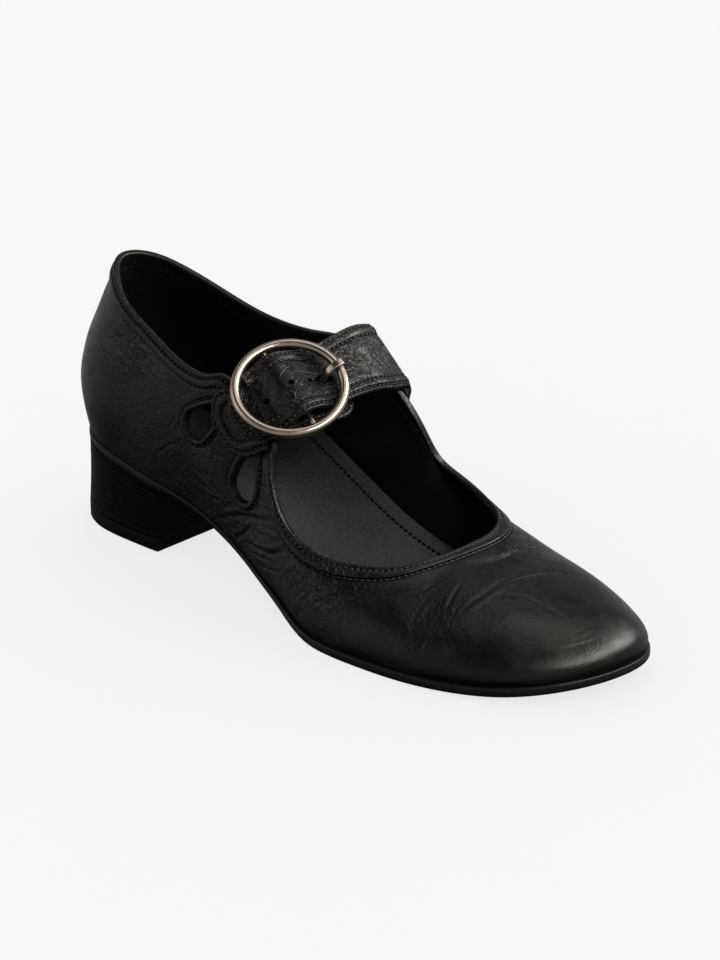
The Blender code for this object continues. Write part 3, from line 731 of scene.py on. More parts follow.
def bump(tree, height, strength, distance, normal=None):
    """A normal bent by a height, up to a distance in millimetres."""
    inputs = {"Height": height, "Strength": strength, "Distance": distance * MM}
    if normal is not None:
        inputs["Normal"] = normal
    return add(tree, "ShaderNodeBump", inputs).outputs["Normal"]


def worked(tree, operation, *values):
    """The result of one math operation on values or other nodes' outputs."""
    return add(tree, "ShaderNodeMath", dict(enumerate(values)), operation=operation).outputs[0]


def product(tree, first, second):
    """Two values multiplied."""
    return worked(tree, "MULTIPLY", first, second)


def beside(tree, value, middle, near, far):
    """0 within near of a middle value and 1 beyond far from it."""
    gap = worked(tree, "ABSOLUTE", worked(tree, "SUBTRACT", value, middle))
    return spread(tree, gap, near, far)


def mark(tree, name):
    """A number that the piece's mesh carries."""
    return add(tree, "ShaderNodeAttribute", attribute_name=name).outputs["Fac"]


def tinted(tone, part):
    """A colour made lighter or darker."""
    return tuple(part * c for c in tone[:3]) + (1.0,)


# Warm tint of the shine of worn black leather
WARM = (1.0, 0.95, 0.87, 1.0)
# Depths in millimetres of the leather's wrinkle webs, small folds, grain and unevenness, and how
# strong the last two are
WEB_DEPTH = 0.26
FINE_WEB_DEPTH = 0.05
FOLD_DEPTH = 0.20
GRAIN_DEPTH = 0.04
UNEVEN_DEPTH = 0.5
SOFT = 0.2
# The fine web's cells beside the coarse one's, how many cells the lines wander, and how wide they are
FINE_WEB = 0.45
WANDER = 2.2
CELL_LINE = 0.06
VEIN_LINE = 0.018
# Patches to a cell of the wander and of the veins, the veins' detail, and the noise where they run
WANDER_SCALE = 0.5
VEIN_SCALE = 0.8
VEIN_DETAIL = 2.0
VEIN_MIDDLE = 0.5
# Patches to the millimetre of the grain, the unevenness, the rubbed places and the wear of the shine,
# with the noise where rubbing starts and is full, and the change of roughness that wear brings
GRAIN_SCALE = 1.8
UNEVEN_SCALE = 0.2
RUBBED_SCALE = 0.06
RUBBED = (0.42, 0.68)
WEAR_SCALE = 0.16
WEAR_ROUGH = (-0.04, 0.07)
FINE_DETAIL = 6.0
PATCHES = (0.3, 0.7)
# Sharp small folds of the leather
FOLDS = {
    "Scale": 0.16,
    "Detail": 2.0,
    "Roughness": 0.4,
    "Lacunarity": 2.2,
    "Offset": 0.9,
    "Gain": 1.0,
    "Distortion": 0.4,
}
# Seam grooves: half widths of the floor and the mouth, depth, how steep they are, and the part of the
# leather's colour left in the floor by painted shade
GROOVE = (0.10, 0.55)
GROOVE_DEPTH = 0.45
GROOVE_STEEP = 0.8
GROOVE_FLOOR_SHADE = 0.25
# Tone of the painted shade in wrinkle lines and seam groove floors, as a part of the leather's colour, the
# depth of wrinkles at which the lines' painted shade is full, and half the facing's soft edge
PAINTED_SHADE_TONE = 0.06
FULL_LINES = 0.6
FACING_EDGE = 0.2
# Leathers: shine, roughness, width in millimetres of the wrinkle web's cells, and the depth of the
# wrinkles where the mesh carries none
LEATHERS = {
    "black_leather": (0.20, 0.31, 4.2, None),
    "strap_hide": (0.22, 0.30, 6.0, 0.5),
    "tab_hide": (0.23, 0.33, 4.6, 0.6),
    "lining_leather": (0.03, 0.60, 6.0, 0.2),
}
# Tints of the lining where it is rubbed, of its leather facing, and of the lighter heel layers
LINING_RUBBED = 1.4
FACING_TINT = 2.2
LAYER_TINT = 1.5


def wrinkle_lines(tree, place, width):
    """A web of wrinkle lines, 0 in a line and 1 beside it, in cells of about a width."""
    warp = noise(tree, place, WANDER_SCALE / width, output="Color")
    stretch = (WANDER * width,) * 3
    bent = add(tree, "ShaderNodeVectorMath", {0: warp, 1: stretch, 2: place}, operation="MULTIPLY_ADD")
    bent = bent.outputs["Vector"]
    inputs = {"Vector": bent, "Scale": 1 / width}
    cells = add(tree, "ShaderNodeTexVoronoi", inputs, feature="DISTANCE_TO_EDGE")
    coarse = spread(tree, cells.outputs["Distance"], 0.0, CELL_LINE)
    swirl = noise(tree, bent, VEIN_SCALE / width, VEIN_DETAIL)
    veins = beside(tree, swirl, VEIN_MIDDLE, 0.0, VEIN_LINE)
    return product(tree, coarse, veins)


def leather(name, base, worn, seams, facing=None):
    """Grained leather with a web of fine wrinkles and the grooves of its seams, both darkened with painted
    shade.

    Seams lie at distances from the edges that the mesh carries. The wrinkles are as deep as its
    crackle mark says, or a fixed amount. A facing is a strip of another colour up to the first seam.
    """
    shine, rough, web, crackle = LEATHERS[name]
    fixed = {"Specular IOR Level": shine, "Specular Tint": WARM}
    material, tree, shader, place = start_material(name, fixed)
    amount = mark(tree, "crackle") if crackle is None else crackle
    coarse, fine = wrinkle_lines(tree, place, web), wrinkle_lines(tree, place, FINE_WEB * web)
    normal = bump(tree, coarse, amount, WEB_DEPTH)
    normal = bump(tree, fine, amount, FINE_WEB_DEPTH, normal)
    folds = add(tree, "ShaderNodeTexNoise", {"Vector": place, **FOLDS}, noise_type="RIDGED_MULTIFRACTAL")
    normal = bump(tree, folds.outputs["Fac"], amount, FOLD_DEPTH, normal)
    grain = add(tree, "ShaderNodeTexVoronoi", {"Vector": place, "Scale": GRAIN_SCALE}).outputs["Distance"]
    normal = bump(tree, grain, SOFT, GRAIN_DEPTH, normal)
    normal = bump(tree, noise(tree, place, UNEVEN_SCALE), SOFT, UNEVEN_DEPTH, normal)
    # Painted shade: the colour darkens in the wrinkle lines, as far as the crackle amount says
    lines = worked(tree, "SUBTRACT", worked(tree, "MINIMUM", coarse, fine), 1.0)
    light = worked(tree, "MULTIPLY_ADD", lines, spread(tree, amount, 0.0, FULL_LINES), 1.0)
    for edge, distance in seams:
        groove = beside(tree, mark(tree, edge), distance, *GROOVE)
        normal = bump(tree, groove, GROOVE_STEEP, GROOVE_DEPTH, normal)
        # Painted shade: the colour darkens in the floor of each seam groove
        light = product(tree, light, spread(tree, groove, 0.0, GROOVE_STEEP, GROOVE_FLOOR_SHADE, 1.0))
    tree.links.new(normal, shader.inputs["Normal"])
    rubbed = spread(tree, noise(tree, place, RUBBED_SCALE, FINE_DETAIL), *RUBBED)
    tone = blend_colours(tree, rubbed, base, worn)
    if facing:
        first = seams[0][1]
        past = spread(tree, mark(tree, "edge"), first - FACING_EDGE, first + FACING_EDGE)
        tone = blend_colours(tree, past, facing, tone)
    # The painted shade tone is laid where the wrinkle lines and groove floors darken the colour
    tree.links.new(blend_colours(tree, light, tinted(base, PAINTED_SHADE_TONE), tone), shader.inputs["Base Color"])
    low, high = WEAR_ROUGH
    wear = spread(tree, noise(tree, place, WEAR_SCALE, FINE_DETAIL), *PATCHES, rough + low, rough + high)
    tree.links.new(wear, shader.inputs["Roughness"])
    return material


# Specks of a plain finish: the noise where they start and are full, its detail and how far they stand
# out; then its rubbed patches to the millimetre, their detail and the change of roughness in them
SPECKS = (0.35, 0.7)
SPECK_DETAIL = 5.0
SPECK_STRENGTH = 0.5
RUB_SCALE = 0.12
RUB_DETAIL = 4.0
RUB_ROUGH = 0.06


def plain_finish(name, base, worn, shine, rough, speckle, depth, metallic=0.0):
    """A finish with a speckled colour, roughness and bump of one grain size."""
    material, tree, shader, place = start_material(name, {"Specular IOR Level": shine, "Metallic": metallic})
    grain = noise(tree, place, 1 / speckle, SPECK_DETAIL)
    tone = blend_colours(tree, spread(tree, grain, *SPECKS), base, worn)
    tree.links.new(tone, shader.inputs["Base Color"])
    patches = noise(tree, place, RUB_SCALE, RUB_DETAIL)
    rubbed = spread(tree, patches, *PATCHES, rough - RUB_ROUGH, rough + RUB_ROUGH)
    tree.links.new(rubbed, shader.inputs["Roughness"])
    tree.links.new(bump(tree, grain, SPECK_STRENGTH, depth), shader.inputs["Normal"])
    return material


# Scale of the wave texture at which a wave is 1 mm long
WAVE_PER_MM = 0.314
# The heel's shine and roughness, where the lines between its layers start and end in a wave, their depth,
# the grain's depth and patches to the millimetre, and how the lines waver
HEEL_SHINE = 0.04
HEEL_ROUGH = (0.42, 0.58)
LAYER_LINE = (0.1, 0.95)
LAYER_DEPTH = 0.10
LAYER_STRENGTH = 0.35
HEEL_GRAIN_DEPTH = 0.08
HEEL_GRAIN_STRENGTH = 0.3
HEEL_GRAIN_SCALE = 0.5
LAYER_WAVER = {"Distortion": 0.5, "Detail": 2.0, "Detail Scale": 0.4}


def stacked_finish(name, base, worn, layer):
    """Waxed heel with the faint lines of its layers."""
    material, tree, shader, place = start_material(name, {"Specular IOR Level": HEEL_SHINE})
    wave = {"Vector": place, "Scale": WAVE_PER_MM / layer, **LAYER_WAVER}
    lines = add(tree, "ShaderNodeTexWave", wave, bands_direction="Z").outputs["Fac"]
    part = spread(tree, lines, *LAYER_LINE)
    tree.links.new(blend_colours(tree, part, base, worn), shader.inputs["Base Color"])
    grain = noise(tree, place, HEEL_GRAIN_SCALE, FINE_DETAIL)
    tree.links.new(spread(tree, grain, *PATCHES, *HEEL_ROUGH), shader.inputs["Roughness"])
    normal = bump(tree, part, LAYER_STRENGTH, LAYER_DEPTH)
    normal = bump(tree, grain, HEEL_GRAIN_STRENGTH, HEEL_GRAIN_DEPTH, normal)
    tree.links.new(normal, shader.inputs["Normal"])
    return material


# Plain finishes: name, colour, tints of it and of its specks, shine, roughness, then size of the specks
# and depth of the bump in millimetres
PLAIN_FINISHES = (
    ("grey_sock", "sock", 1.0, 2.6, 0.18, 0.42, 0.55, 0.12),
    ("waxed_sole", "sole", 1.0, 1.5, 0.14, 0.36, 1.6, 0.06),
    ("black_rubber", "rubber", 1.0, 1.5, 0.06, 0.5, 0.8, 0.05),
    ("warm_nickel", "metal", 1.0, 0.9, 0.5, 0.27, 1.6, 0.003),
    ("thread", "thread", 1.0, 1.8, 0.25, 0.42, 0.4, 0.06),
    ("dark_thread", "thread", 0.2, 0.4, 0.05, 0.5, 0.4, 0.06),
)


def edge_seams(rows):
    """Seams at distances from a piece's edge."""
    return [("edge", row) for row in rows]


def finishes():
    """All materials of the shoe, made once."""
    if "black_leather" not in bpy.data.materials:
        base, worn, lining = colour("leather"), colour("leather_worn"), colour("lining")
        leather("black_leather", base, worn, [*edge_seams(STITCH_ROWS), ("rim", RIM_SEAM)])
        leather("strap_hide", base, worn, edge_seams(STRAP_STITCH))
        leather("tab_hide", base, worn, edge_seams(TAB_STITCH))
        rubbed, facing = tinted(lining, LINING_RUBBED), tinted(base, FACING_TINT)
        leather("lining_leather", lining, rubbed, edge_seams([LINING_ROW]), facing)
        heel = colour("heel")
        stacked_finish("stacked_heel", heel, tinted(heel, LAYER_TINT), size("lift"))
        for name, paint, plain, speck, *finish in PLAIN_FINISHES:
            tone = colour(paint)
            metallic = 1.0 if paint == "metal" else 0.0
            plain_finish(name, tinted(tone, plain), tinted(tone, speck), *finish, metallic)
    return bpy.data.materials


# Upper

# Rows of points up the outside, round the band and the rim, and down the lining
UP = 100
BAND_ROWS = 18
CREST_STEPS = 5
FACING_ROWS = 8
DOWN = 12
CREST_HEIGHT = 0.5
# Steps to the millimetre round the feather line, and the stretch of x where they are fine
FINE_X = (60.0, 120.0)
FINE_STEPS = 1.9
LATERAL_STEPS = 1.45
MEDIAL_STEPS = 0.62
# Stitch rows from the topline and the rim of a cut-out, and a distance that is far from any edge
STITCH_ROWS = (1.35, 4.9)
LINING_ROW = 5.2
RIM_SEAM = 2.5
FAR = 8.0
# The band's puff, the depth and width of its two stitch grooves, where it falls away past the second,
# where its rows and the wall's own meet, and where the wall's relief fades out
BAND_PUFF = 0.35
BAND_GROOVES = ((0.35, 0.4), (0.45, 0.45))
BAND_FALL = (-0.5, 0.6)
BAND_MARGIN = 1.4
BAND_START = 1.2
WALL_FADE = ((0.0, 0.08), (0.93, 1.0))
# The lining's facing: how far it stands up, where it falls away, and where the lining's rows start
FACING_PUFF = 0.25
FACING_FALL = (-0.6, 0.3)
FACING_MARGIN = 1.3
LINING_START = 1.6
# A crease's raised lips beside its line, in its own depth and width, and how far it reaches
CREASE_SAMPLES = 12
LIP = 0.45
LIP_LEAN = 0.35
LIP_PLACE = 2.1
LIP_WIDTH = 1.3
CREASE_REACH = 12.0
CREASE_FADE = (0.04, 0.96)
CREASE_TAPER = 0.7
# How far a face has to turn to the lateral side or upward to take a table's creases
LATERAL_FACE = -0.25
UPWARD_FACE = 0.2
# The padded rim of a cut-out, its stitch groove, and the calm leather round it
RIM_TUBE = 0.9
RIM_GROOVE = (0.4, 0.45)
RIM_CALM = 1.5
RIM_REACH = 30.0
# Gentle waves of the leather, and the least of its fine wrinkles
WAVES = 14
WAVE_LENGTHS = (9, 26)
WAVE_HEIGHT = 0.0016
CRACKLE_LEAST = 0.06


def wall_places():
    """Places round the feather line, closer together at the cut-outs."""
    dense = np.linspace(0, RIBS.length, 8 * SEARCH_STEPS)
    x = RIBS.at(dense)[:, 0]
    lateral = dense < TOE_PLACE
    fine = lateral & (x > FINE_X[0]) & (x < FINE_X[1])
    rate = np.where(fine, FINE_STEPS, np.where(lateral, LATERAL_STEPS, MEDIAL_STEPS))
    total = np.concatenate([[0.0], np.cumsum((rate[1:] + rate[:-1]) / 2 * np.diff(dense))])
    count = int(total[-1])
    return np.interp(np.arange(count) * total[-1] / count, total, dense)


def band_profile(distance):
    """How far the topline band stands up at a distance below the topline."""
    first, second = STITCH_ROWS
    rise = size("band_raise") * (1 - smooth_step(distance, *(second + fall for fall in BAND_FALL)))
    aside = (distance - (first + second) / 2) / (second - first) * 2
    puff = BAND_PUFF * np.sqrt(np.clip(1 - aside**2, 0.0, 1.0))
    grooves = (deep * hump(distance, row, wide) for row, (deep, wide) in zip(STITCH_ROWS, BAND_GROOVES))
    return rise + puff - sum(grooves)


def teardrop(drop, outset=0.0):
    """Outline of a cut-out in x and z, moved out by an outset."""
    middle = np.array([drop["round_x"], drop["round_z"]])
    run = np.array([drop["point_x"], drop["point_z"]]) - middle
    aside = unit(np.array([run[1], -run[0]]))
    sweep = np.linspace(0.0, math.pi, CUT_STEPS)
    back = np.outer(np.cos(sweep), aside) - np.outer(np.sin(sweep), unit(run))
    part = np.arange(1, CUT_STEPS + 1) / CUT_STEPS
    spine = middle + np.outer(part, run)
    half = np.outer(drop["radius"] * (1 - part**CUT_SWELL) + outset, aside)
    return np.vstack([middle + (drop["radius"] + outset) * back, spine - half, (spine + half)[-2::-1]])


def inside_outline(points, outline):
    """Which points lie inside a closed outline."""
    inside = np.zeros(len(points), bool)
    for (x0, z0), (x1, z1) in zip(outline, np.roll(outline, -1, axis=0)):
        crosses = (z0 > points[:, 1]) != (z1 > points[:, 1])
        reach = x0 + (points[:, 1] - z0) * (x1 - x0) / (z1 - z0 if z1 != z0 else SMALL)
        inside ^= crosses & (points[:, 0] < reach)
    return inside


def crease_lines(text):
    """Reads creases as width, depth, puffed side and points."""
    for line in text.strip().splitlines():
        words = line.split()
        width, depth, side = map(float, words[1:4])
        yield width, depth, side, np.array(list(map(float, words[4:]))).reshape(-1, 2)


def rim_gap(points):
    """Distance of points on the lateral wall from the nearest cut-out, below 0 inside it."""
    gap = np.full(len(points), FAR)
    for drop in named_rows(CUT_OUTS).values():
        outline = teardrop(drop)
        near = (points[:, 1] < 0) & (np.abs(points[:, 0] - drop["round_x"]) < RIM_REACH)
        flat = points[near][:, (0, 2)]
        away, _, _ = nearest_on_line(flat, np.vstack([outline, outline[:1]]))
        gap[near] = np.minimum(gap[near], np.where(inside_outline(flat, outline), -away, away))
    return gap


def crease_relief(points, normals):
    """How far creases, cut-out rims and swells move the leather along its normal."""
    relief = np.zeros(len(points))
    deep = bpy.context.scene.shoe_sizes.crease
    lateral = (normals[:, 1] < LATERAL_FACE) & (points[:, 1] < 0)
    upward = normals[:, 2] > UPWARD_FACE
    for text, axes, puffed, faces in ((WALL_CREASES, (0, 2), 2, lateral), (VAMP_CREASES, (0, 1), 0, upward)):
        chosen = points[faces]
        for width, depth, side, knots in crease_lines(text):
            curve = Spline(knots, knots)
            flat = curve.at(np.linspace(0, curve.length, CREASE_SAMPLES))
            line = [chosen[np.argmin(((chosen[:, axes] - spot) ** 2).sum(1))] for spot in flat]
            reach = curve.length + CREASE_REACH * width
            near = np.linalg.norm(points - np.mean(line, axis=0), axis=1) < reach
            gap, part, away = nearest_on_line(points[near], np.array(line))
            fade = np.sin(np.pi * np.clip(part, *CREASE_FADE)) ** CREASE_TAPER
            lean = LIP + LIP_LEAN * side * np.tanh(away[:, puffed])
            shape = lean * hump(gap, LIP_PLACE * width, LIP_WIDTH * width) - hump(gap, 0.0, width)
            relief[near] += deep * depth * fade * shape
    for spot in named_rows(SWELLS).values():
        far = np.linalg.norm(points - [spot["x"], spot["y"], spot["z"]], axis=1)
        relief += deep * spot["height"] * hump(far, 0.0, spot["reach"])
    gap = rim_gap(points)
    calm = smooth_step(gap, RIM_SEAM, RIM_SEAM + RIM_CALM)
    tube = np.sqrt(np.clip(1 - ((gap - RIM_SEAM / 2) / (RIM_SEAM / 2)) ** 2, 0.0, 1.0))
    groove, wide = RIM_GROOVE
    return relief * calm + RIM_TUBE * tube - groove * hump(gap, RIM_SEAM, wide)


def soft_waves(points):
    """Gentle unevenness of the leather from a few waves in fixed random directions."""
    source = np.random.default_rng(SEED)
    wave = np.zeros(len(points))
    for _ in range(WAVES):
        way = unit(source.normal(size=3))
        span = source.uniform(*WAVE_LENGTHS)
        wave += np.sin(points @ way * 2 * np.pi / span + source.uniform(0, 2 * np.pi)) * span
    return WAVE_HEIGHT * wave


def crackle_amount(points):
    """How finely wrinkled the leather is at each point."""
    amount = np.full(len(points), CRACKLE_LEAST)
    for spot in named_rows(CRACKLE).values():
        far = np.linalg.norm(points - [spot["x"], spot["y"], spot["z"]], axis=1)
        amount = np.maximum(amount, spot["amount"] * hump(far, 0.0, spot["reach"]))
    return amount


def upper_rows():
    """Rows of points of the upper from its foot up the outside, over the rim and down the lining.

    Also gives the distance of each row from the topline and the row where the lining starts.
    """
    place = wall_places()
    wall = size("wall")
    margin = size("band") + BAND_MARGIN
    start = rise_below_top(place, margin)
    shape = np.stack([start * k / UP for k in range(UP + 1)])
    around = np.broadcast_to(place, shape.shape)
    skin, normal = rib_point(around, shape), skin_normal(around, shape)
    flat, ways = skin.reshape(-1, 3), normal.reshape(-1, 3)
    relief = (crease_relief(flat, ways) + soft_waves(flat)).reshape(shape.shape)
    level = np.arange(UP + 1)[:, None] / UP
    low, high = WALL_FADE
    relief *= smooth_step(level, *low) * (1 - smooth_step(level, *high))
    rows = list(skin + relief[..., None] * normal)
    edges = [FAR] * UP + [margin]
    for distance in np.linspace(size("band") + BAND_START, 0.0, BAND_ROWS):
        edges.append(distance)
        rows.append(skin_point(place, rise_below_top(place, distance), band_profile(distance)))
    top = np.ones_like(place)
    lean = unit(rib_point(place, top) - rib_point(place, start))
    outer, inner = float(band_profile(0.0)), -wall
    for turn in np.linspace(0, np.pi, CREST_STEPS + 2)[1:-1]:
        offset = (outer + inner) / 2 + (outer - inner) / 2 * math.cos(turn)
        rows.append(skin_point(place, top, offset) + CREST_HEIGHT * math.sin(turn) * lean)
    edges += [0.0] * CREST_STEPS
    lining_from = len(rows) - 1
    for distance in np.linspace(0.0, LINING_ROW + FACING_MARGIN, FACING_ROWS):
        edges.append(distance)
        sink = FACING_PUFF * smooth_step(distance, *(LINING_ROW + fall for fall in FACING_FALL))
        rows.append(skin_point(place, rise_below_top(place, distance), -wall - sink))
    low = rise_below_top(place, LINING_ROW + LINING_START)
    for k in range(DOWN, 0, -1):
        rows.append(skin_point(place, low * k / DOWN, -wall - FACING_PUFF))
    foot = RIBS.at(place)
    rows.append(np.column_stack([foot[:, :2] - wall * plan_normal(place), bed(foot[:, 0]) + GAP]))
    edges += [FAR] * (DOWN + 1)
    return np.array(rows), np.array(edges), lining_from


class SHOE_OT_upper(bpy.types.Operator):
    """Makes the leather upper with its topline band, cut-outs, creases and lining"""

    bl_idname = "shoe.upper"
    bl_label = "Upper"

    def execute(self, context):
        rows, edges, lining_from = upper_rows()
        count = rows.shape[1]
        points = rows.reshape(-1, 3)
        faces = ring_faces(len(rows), count, wrap=True)
        inside = np.arange(len(faces)) // count >= lining_from
        made = finishes()
        finish = (made["black_leather"], made["lining_leather"])
        upper = make_piece("upper_leather", points, faces, finish, inside.astype(int))
        carry(upper.data, "crackle", crackle_amount(points))
        carry(upper.data, "edge", np.repeat(edges, count))
        carry(upper.data, "rim", rim_gap(points))
        for name, drop in named_rows(CUT_OUTS).items():
            shape = teardrop(drop)
            ends = [np.column_stack([shape[:, 0], np.full(len(shape), y), shape[:, 1]]) for y in CUT_DEPTH]
            sides = ring_faces(2, len(shape), wrap=False)
            sides += [tuple(range(len(shape))), tuple(range(len(shape), 2 * len(shape)))]
            cutter = make_piece(f"cutter_{name}", np.concatenate(ends), sides, finish, np.ones(len(sides)))
            cut_away(upper, cutter)
        sharpen(upper, UPPER_CRISP)
        belongs(upper, "upper_leather", "upper")
        return {"FINISHED"}


# Sole, sock and heel

AROUND = 280
ACROSS = 28
FLANK_STEPS = 8
HEEL_STEPS = 120
# The sole's edge from its bottom up: how far in, and how far down in its own thickness
SOLE_EDGE = (
    (0.7, 1.0),
    (0.22, 0.93),
    (0.05, 0.84),
    (0.0, 0.72),
    (0.0, 0.3),
    (0.05, 0.16),
    (0.18, 0.06),
    (0.45, 0.0),
)
# Stitch row of the sock's border, the depth and width of its groove, and how the border stands up
SOCK_ROW = 5.0
SOCK_GROOVE = (0.35, 0.8)
SOCK_BORDER = (3.6, 4.8)
BORDER_RAISE = 0.3
SOCK_STITCH_WAY = (0.0, -0.6, 0.8)
# Each heel layer's rounded ends in its own height, the groove between two, and the heel's own ends
LAYER_ENDS = (0.06, 0.94)
LAYER_GROOVE = 0.05
HEEL_FOOT = ((0.0, 0.25),)
HEEL_HEAD = ((0.985, 0.08), (1.0, 0.45))
# The top piece's rounded edges: how far in, and how far from its face
TREAD_EDGE = ((0.7, 0.0), (0.25, 0.15), (0.0, 0.6))
SEAT_EDGE = ((0.0, 0.6), (0.12, 0.2), (0.5, 0.0))


def cap_strips(points, ring, height):
    """Closes a ring from heel to toe with strips across it, and gives the rows of the strips."""
    half = len(ring) // 2
    rows = [[ring[0]]]
    for k in range(1, half):
        left, right = points[ring[k]], points[ring[-k]]
        row = [ring[k]]
        for j in range(1, ACROSS):
            x, y = (left + (right - left) * j / ACROSS)[:2]
            row.append(len(points))
            points.append(np.array([x, y, height(x, j / ACROSS)]))
        rows.append(row + [ring[-k]])
    rows.append([ring[half]])
    faces = []
    for low, high in zip(rows, rows[1:]):
        for j in range(ACROSS):
            corners = [low[min(j, len(low) - 1)], low[min(j + 1, len(low) - 1)]]
            corners += [high[min(j + 1, len(high) - 1)], high[min(j, len(high) - 1)]]
            faces.append(tuple(dict.fromkeys(corners)))
    return faces, rows


def feather_line(inset):
    """The feather line in plan, moved in by an inset for each place."""
    place = places_around(AROUND)
    return RIBS.at(place)[:, :2] - np.asarray(inset).reshape(-1, 1) * plan_normal(place)


def slab(levels, bottom, top):
    """Points and faces between two capped outlines, with the rows of the top strips."""
    count = len(levels[0])
    points = [p for ring in levels for p in ring]
    last = (len(levels) - 1) * count
    faces = ring_faces(len(levels), count, wrap=False)
    faces += cap_strips(points, list(range(count)), bottom)[0]
    caps, rows = cap_strips(points, list(range(last, last + count)), top)
    return np.array(points), faces + caps, rows


class SHOE_OT_outsole(bpy.types.Operator):
    """Makes the outsole with its rounded edge, bevelled under the waist"""

    bl_idname = "shoe.outsole"
    bl_label = "Outsole"

    def execute(self, context):
        thick = size("outsole")
        x = RIBS.at(places_around(AROUND))[:, 0]
        ledge = LEDGE_REAR + (LEDGE_FORE - LEDGE_REAR) * smooth_step(x, LEDGE_FROM_X, LEDGE_TO_X)
        waist = smooth_step(x, BREAST_X, BREAST_X + BEVEL_RUN) * (1 - smooth_step(x, LEDGE_FROM_X, BALL_X))
        levels = []
        for inset, drop in SOLE_EDGE:
            plan = feather_line(inset + WAIST_BEVEL * waist * drop**4 - ledge)
            levels.append(np.column_stack([plan, bed(plan[:, 0]) - drop * thick]))
        points, faces, _ = slab(levels, lambda x, part: bed(x) - thick, lambda x, part: bed(x))
        sole = make_piece("outsole_edge", points, faces, [finishes()["waxed_sole"]])
        sharpen(sole, CRISP)
        belongs(sole, "sole", "outsole")
        return {"FINISHED"}


def arch_rise(x):
    """How far the sock climbs the medial wall at x."""
    return ARCH_RISE * smooth_step(x, *ARCH_REAR) * (1 - smooth_step(x, *ARCH_FRONT))


def sock_top(x, part):
    """Height of the sock at x and at a part of the way across to the medial side."""
    return bed(x) + GAP + size("insole") + arch_rise(x) * part**ARCH_POWER


def sock_mesh():
    """Points and faces of the sock, and the rows of points across its top."""
    place = places_around(AROUND)
    wall = size("wall")
    plan = feather_line(wall + GAP)
    foot = bed(plan[:, 0]) + GAP
    climb = np.where(place > TOE_PLACE, arch_rise(RIBS.at(place)[:, 0]), 0.0)
    levels = [np.column_stack([plan, foot])]
    for k in range(1, FLANK_STEPS + 1):
        part = k / FLANK_STEPS
        height = foot + part * (size("insole") + climb)
        edge = np.column_stack([feather_line(wall + GAP + INSOLE_BEVEL * part), height])
        side = skin_point(place, rise_at_height(place, height), -wall - SOCK_SINK)
        levels.append(np.where(climb[:, None] > ARCH_LEAST, side, edge))
    return slab(levels, lambda x, part: bed(x) + GAP, sock_top)


class SHOE_OT_sock(bpy.types.Operator):
    """Makes the insole with its grey sock and the stitched border of the arch support"""

    bl_idname = "shoe.sock"
    bl_label = "Sock"

    def execute(self, context):
        points, faces, rows = sock_mesh()
        seam = []
        for row in rows[1:-1]:
            line = points[row[::-1]]
            walked = walked_along(line)
            if arch_rise(line[0, 0]) > 2 * ARCH_LEAST and walked[-1] > 2 * SOCK_ROW:
                seam.append(between_points(SOCK_ROW, walked, line))
                deep, wide = SOCK_GROOVE
                border = BORDER_RAISE * (1 - smooth_step(walked, *SOCK_BORDER)) * (walked > 0)
                points[row[::-1], 2] -= deep * hump(walked, SOCK_ROW, wide) - border
        sock = make_piece("sock_leather", points, faces, [finishes()["grey_sock"]])
        sharpen(sock, CRISP)
        belongs(sock, "sock_leather", "insole")
        up = np.tile(SOCK_STITCH_WAY, (len(seam), 1))
        sew("sock_stitches", [(np.array(seam), up)], "sock_leather", "dark_thread")
        return {"FINISHED"}


def heel_outline(inset, drop):
    """The heel's outline in plan, breast to breast round the back, for a drop of 0 to 1 down it."""
    ends = []
    for start in (0.0, RIBS.length):
        side = np.linspace(start, TOE_PLACE, SEARCH_STEPS)
        ends.append(side[np.argmax(RIBS.at(side)[:, 0] > BREAST_X)])
    place = np.linspace(ends[1] - RIBS.length, ends[0], HEEL_STEPS + 1)
    plan = RIBS.at(place)[:, :2]
    shrink = drop * ((HEEL_TAPER + HEEL_FLARE) * plan[:, :1] / BREAST_X - HEEL_FLARE)
    plan = plan - (inset + shrink) * plan_normal(place)
    plan[0, 0] = plan[-1, 0] = BREAST_X
    return plan


def heel_piece(name, rings, material, slot, node):
    """A heel layer between outlines, from the bottom up."""
    count = len(rings[0])
    last = (len(rings) - 1) * count
    faces = ring_faces(len(rings), count, wrap=False)
    faces += [tuple(range(count)), tuple(range(last, last + count))]
    piece = make_piece(name, np.concatenate(rings), faces, [finishes()[material]])
    sharpen(piece, HEEL_CRISP)
    belongs(piece, slot, node)


class SHOE_OT_heel(bpy.types.Operator):
    """Makes the stacked block heel and the top piece under it"""

    bl_idname = "shoe.heel"
    bl_label = "Heel"

    def execute(self, context):
        high = size("top_piece")
        low = high + GAP
        layers = round((SEAT_BACK_Z - size("outsole") - low) / size("lift"))
        parts = [*HEEL_FOOT]
        for k in range(layers):
            parts += [((k + end) / layers, 0.0) for end in LAYER_ENDS]
            if k < layers - 1:
                parts.append(((k + 1) / layers, LAYER_GROOVE))
        rings = []
        for part, inset in (*parts, *HEEL_HEAD):
            plan = heel_outline(HEEL_INSET + HEEL_WAIST * math.sin(math.pi * part) + inset, 1 - part)
            top = bed(plan[:, 0]) - size("outsole") - GAP
            rings.append(np.column_stack([plan, low + part * (top - low)]))
        heel_piece("heel_stack", rings, "stacked_heel", "heel_block", "heel")
        rings = []
        for inset, z in (*TREAD_EDGE, *((inset, high - down) for inset, down in SEAT_EDGE)):
            plan = heel_outline(HEEL_INSET + inset, 1.0)
            rings.append(np.column_stack([plan, np.full(len(plan), z)]))
        heel_piece("heel_top_piece", rings, "black_rubber", "heel_rubber", "top_piece")
        return {"FINISHED"}


# Straps

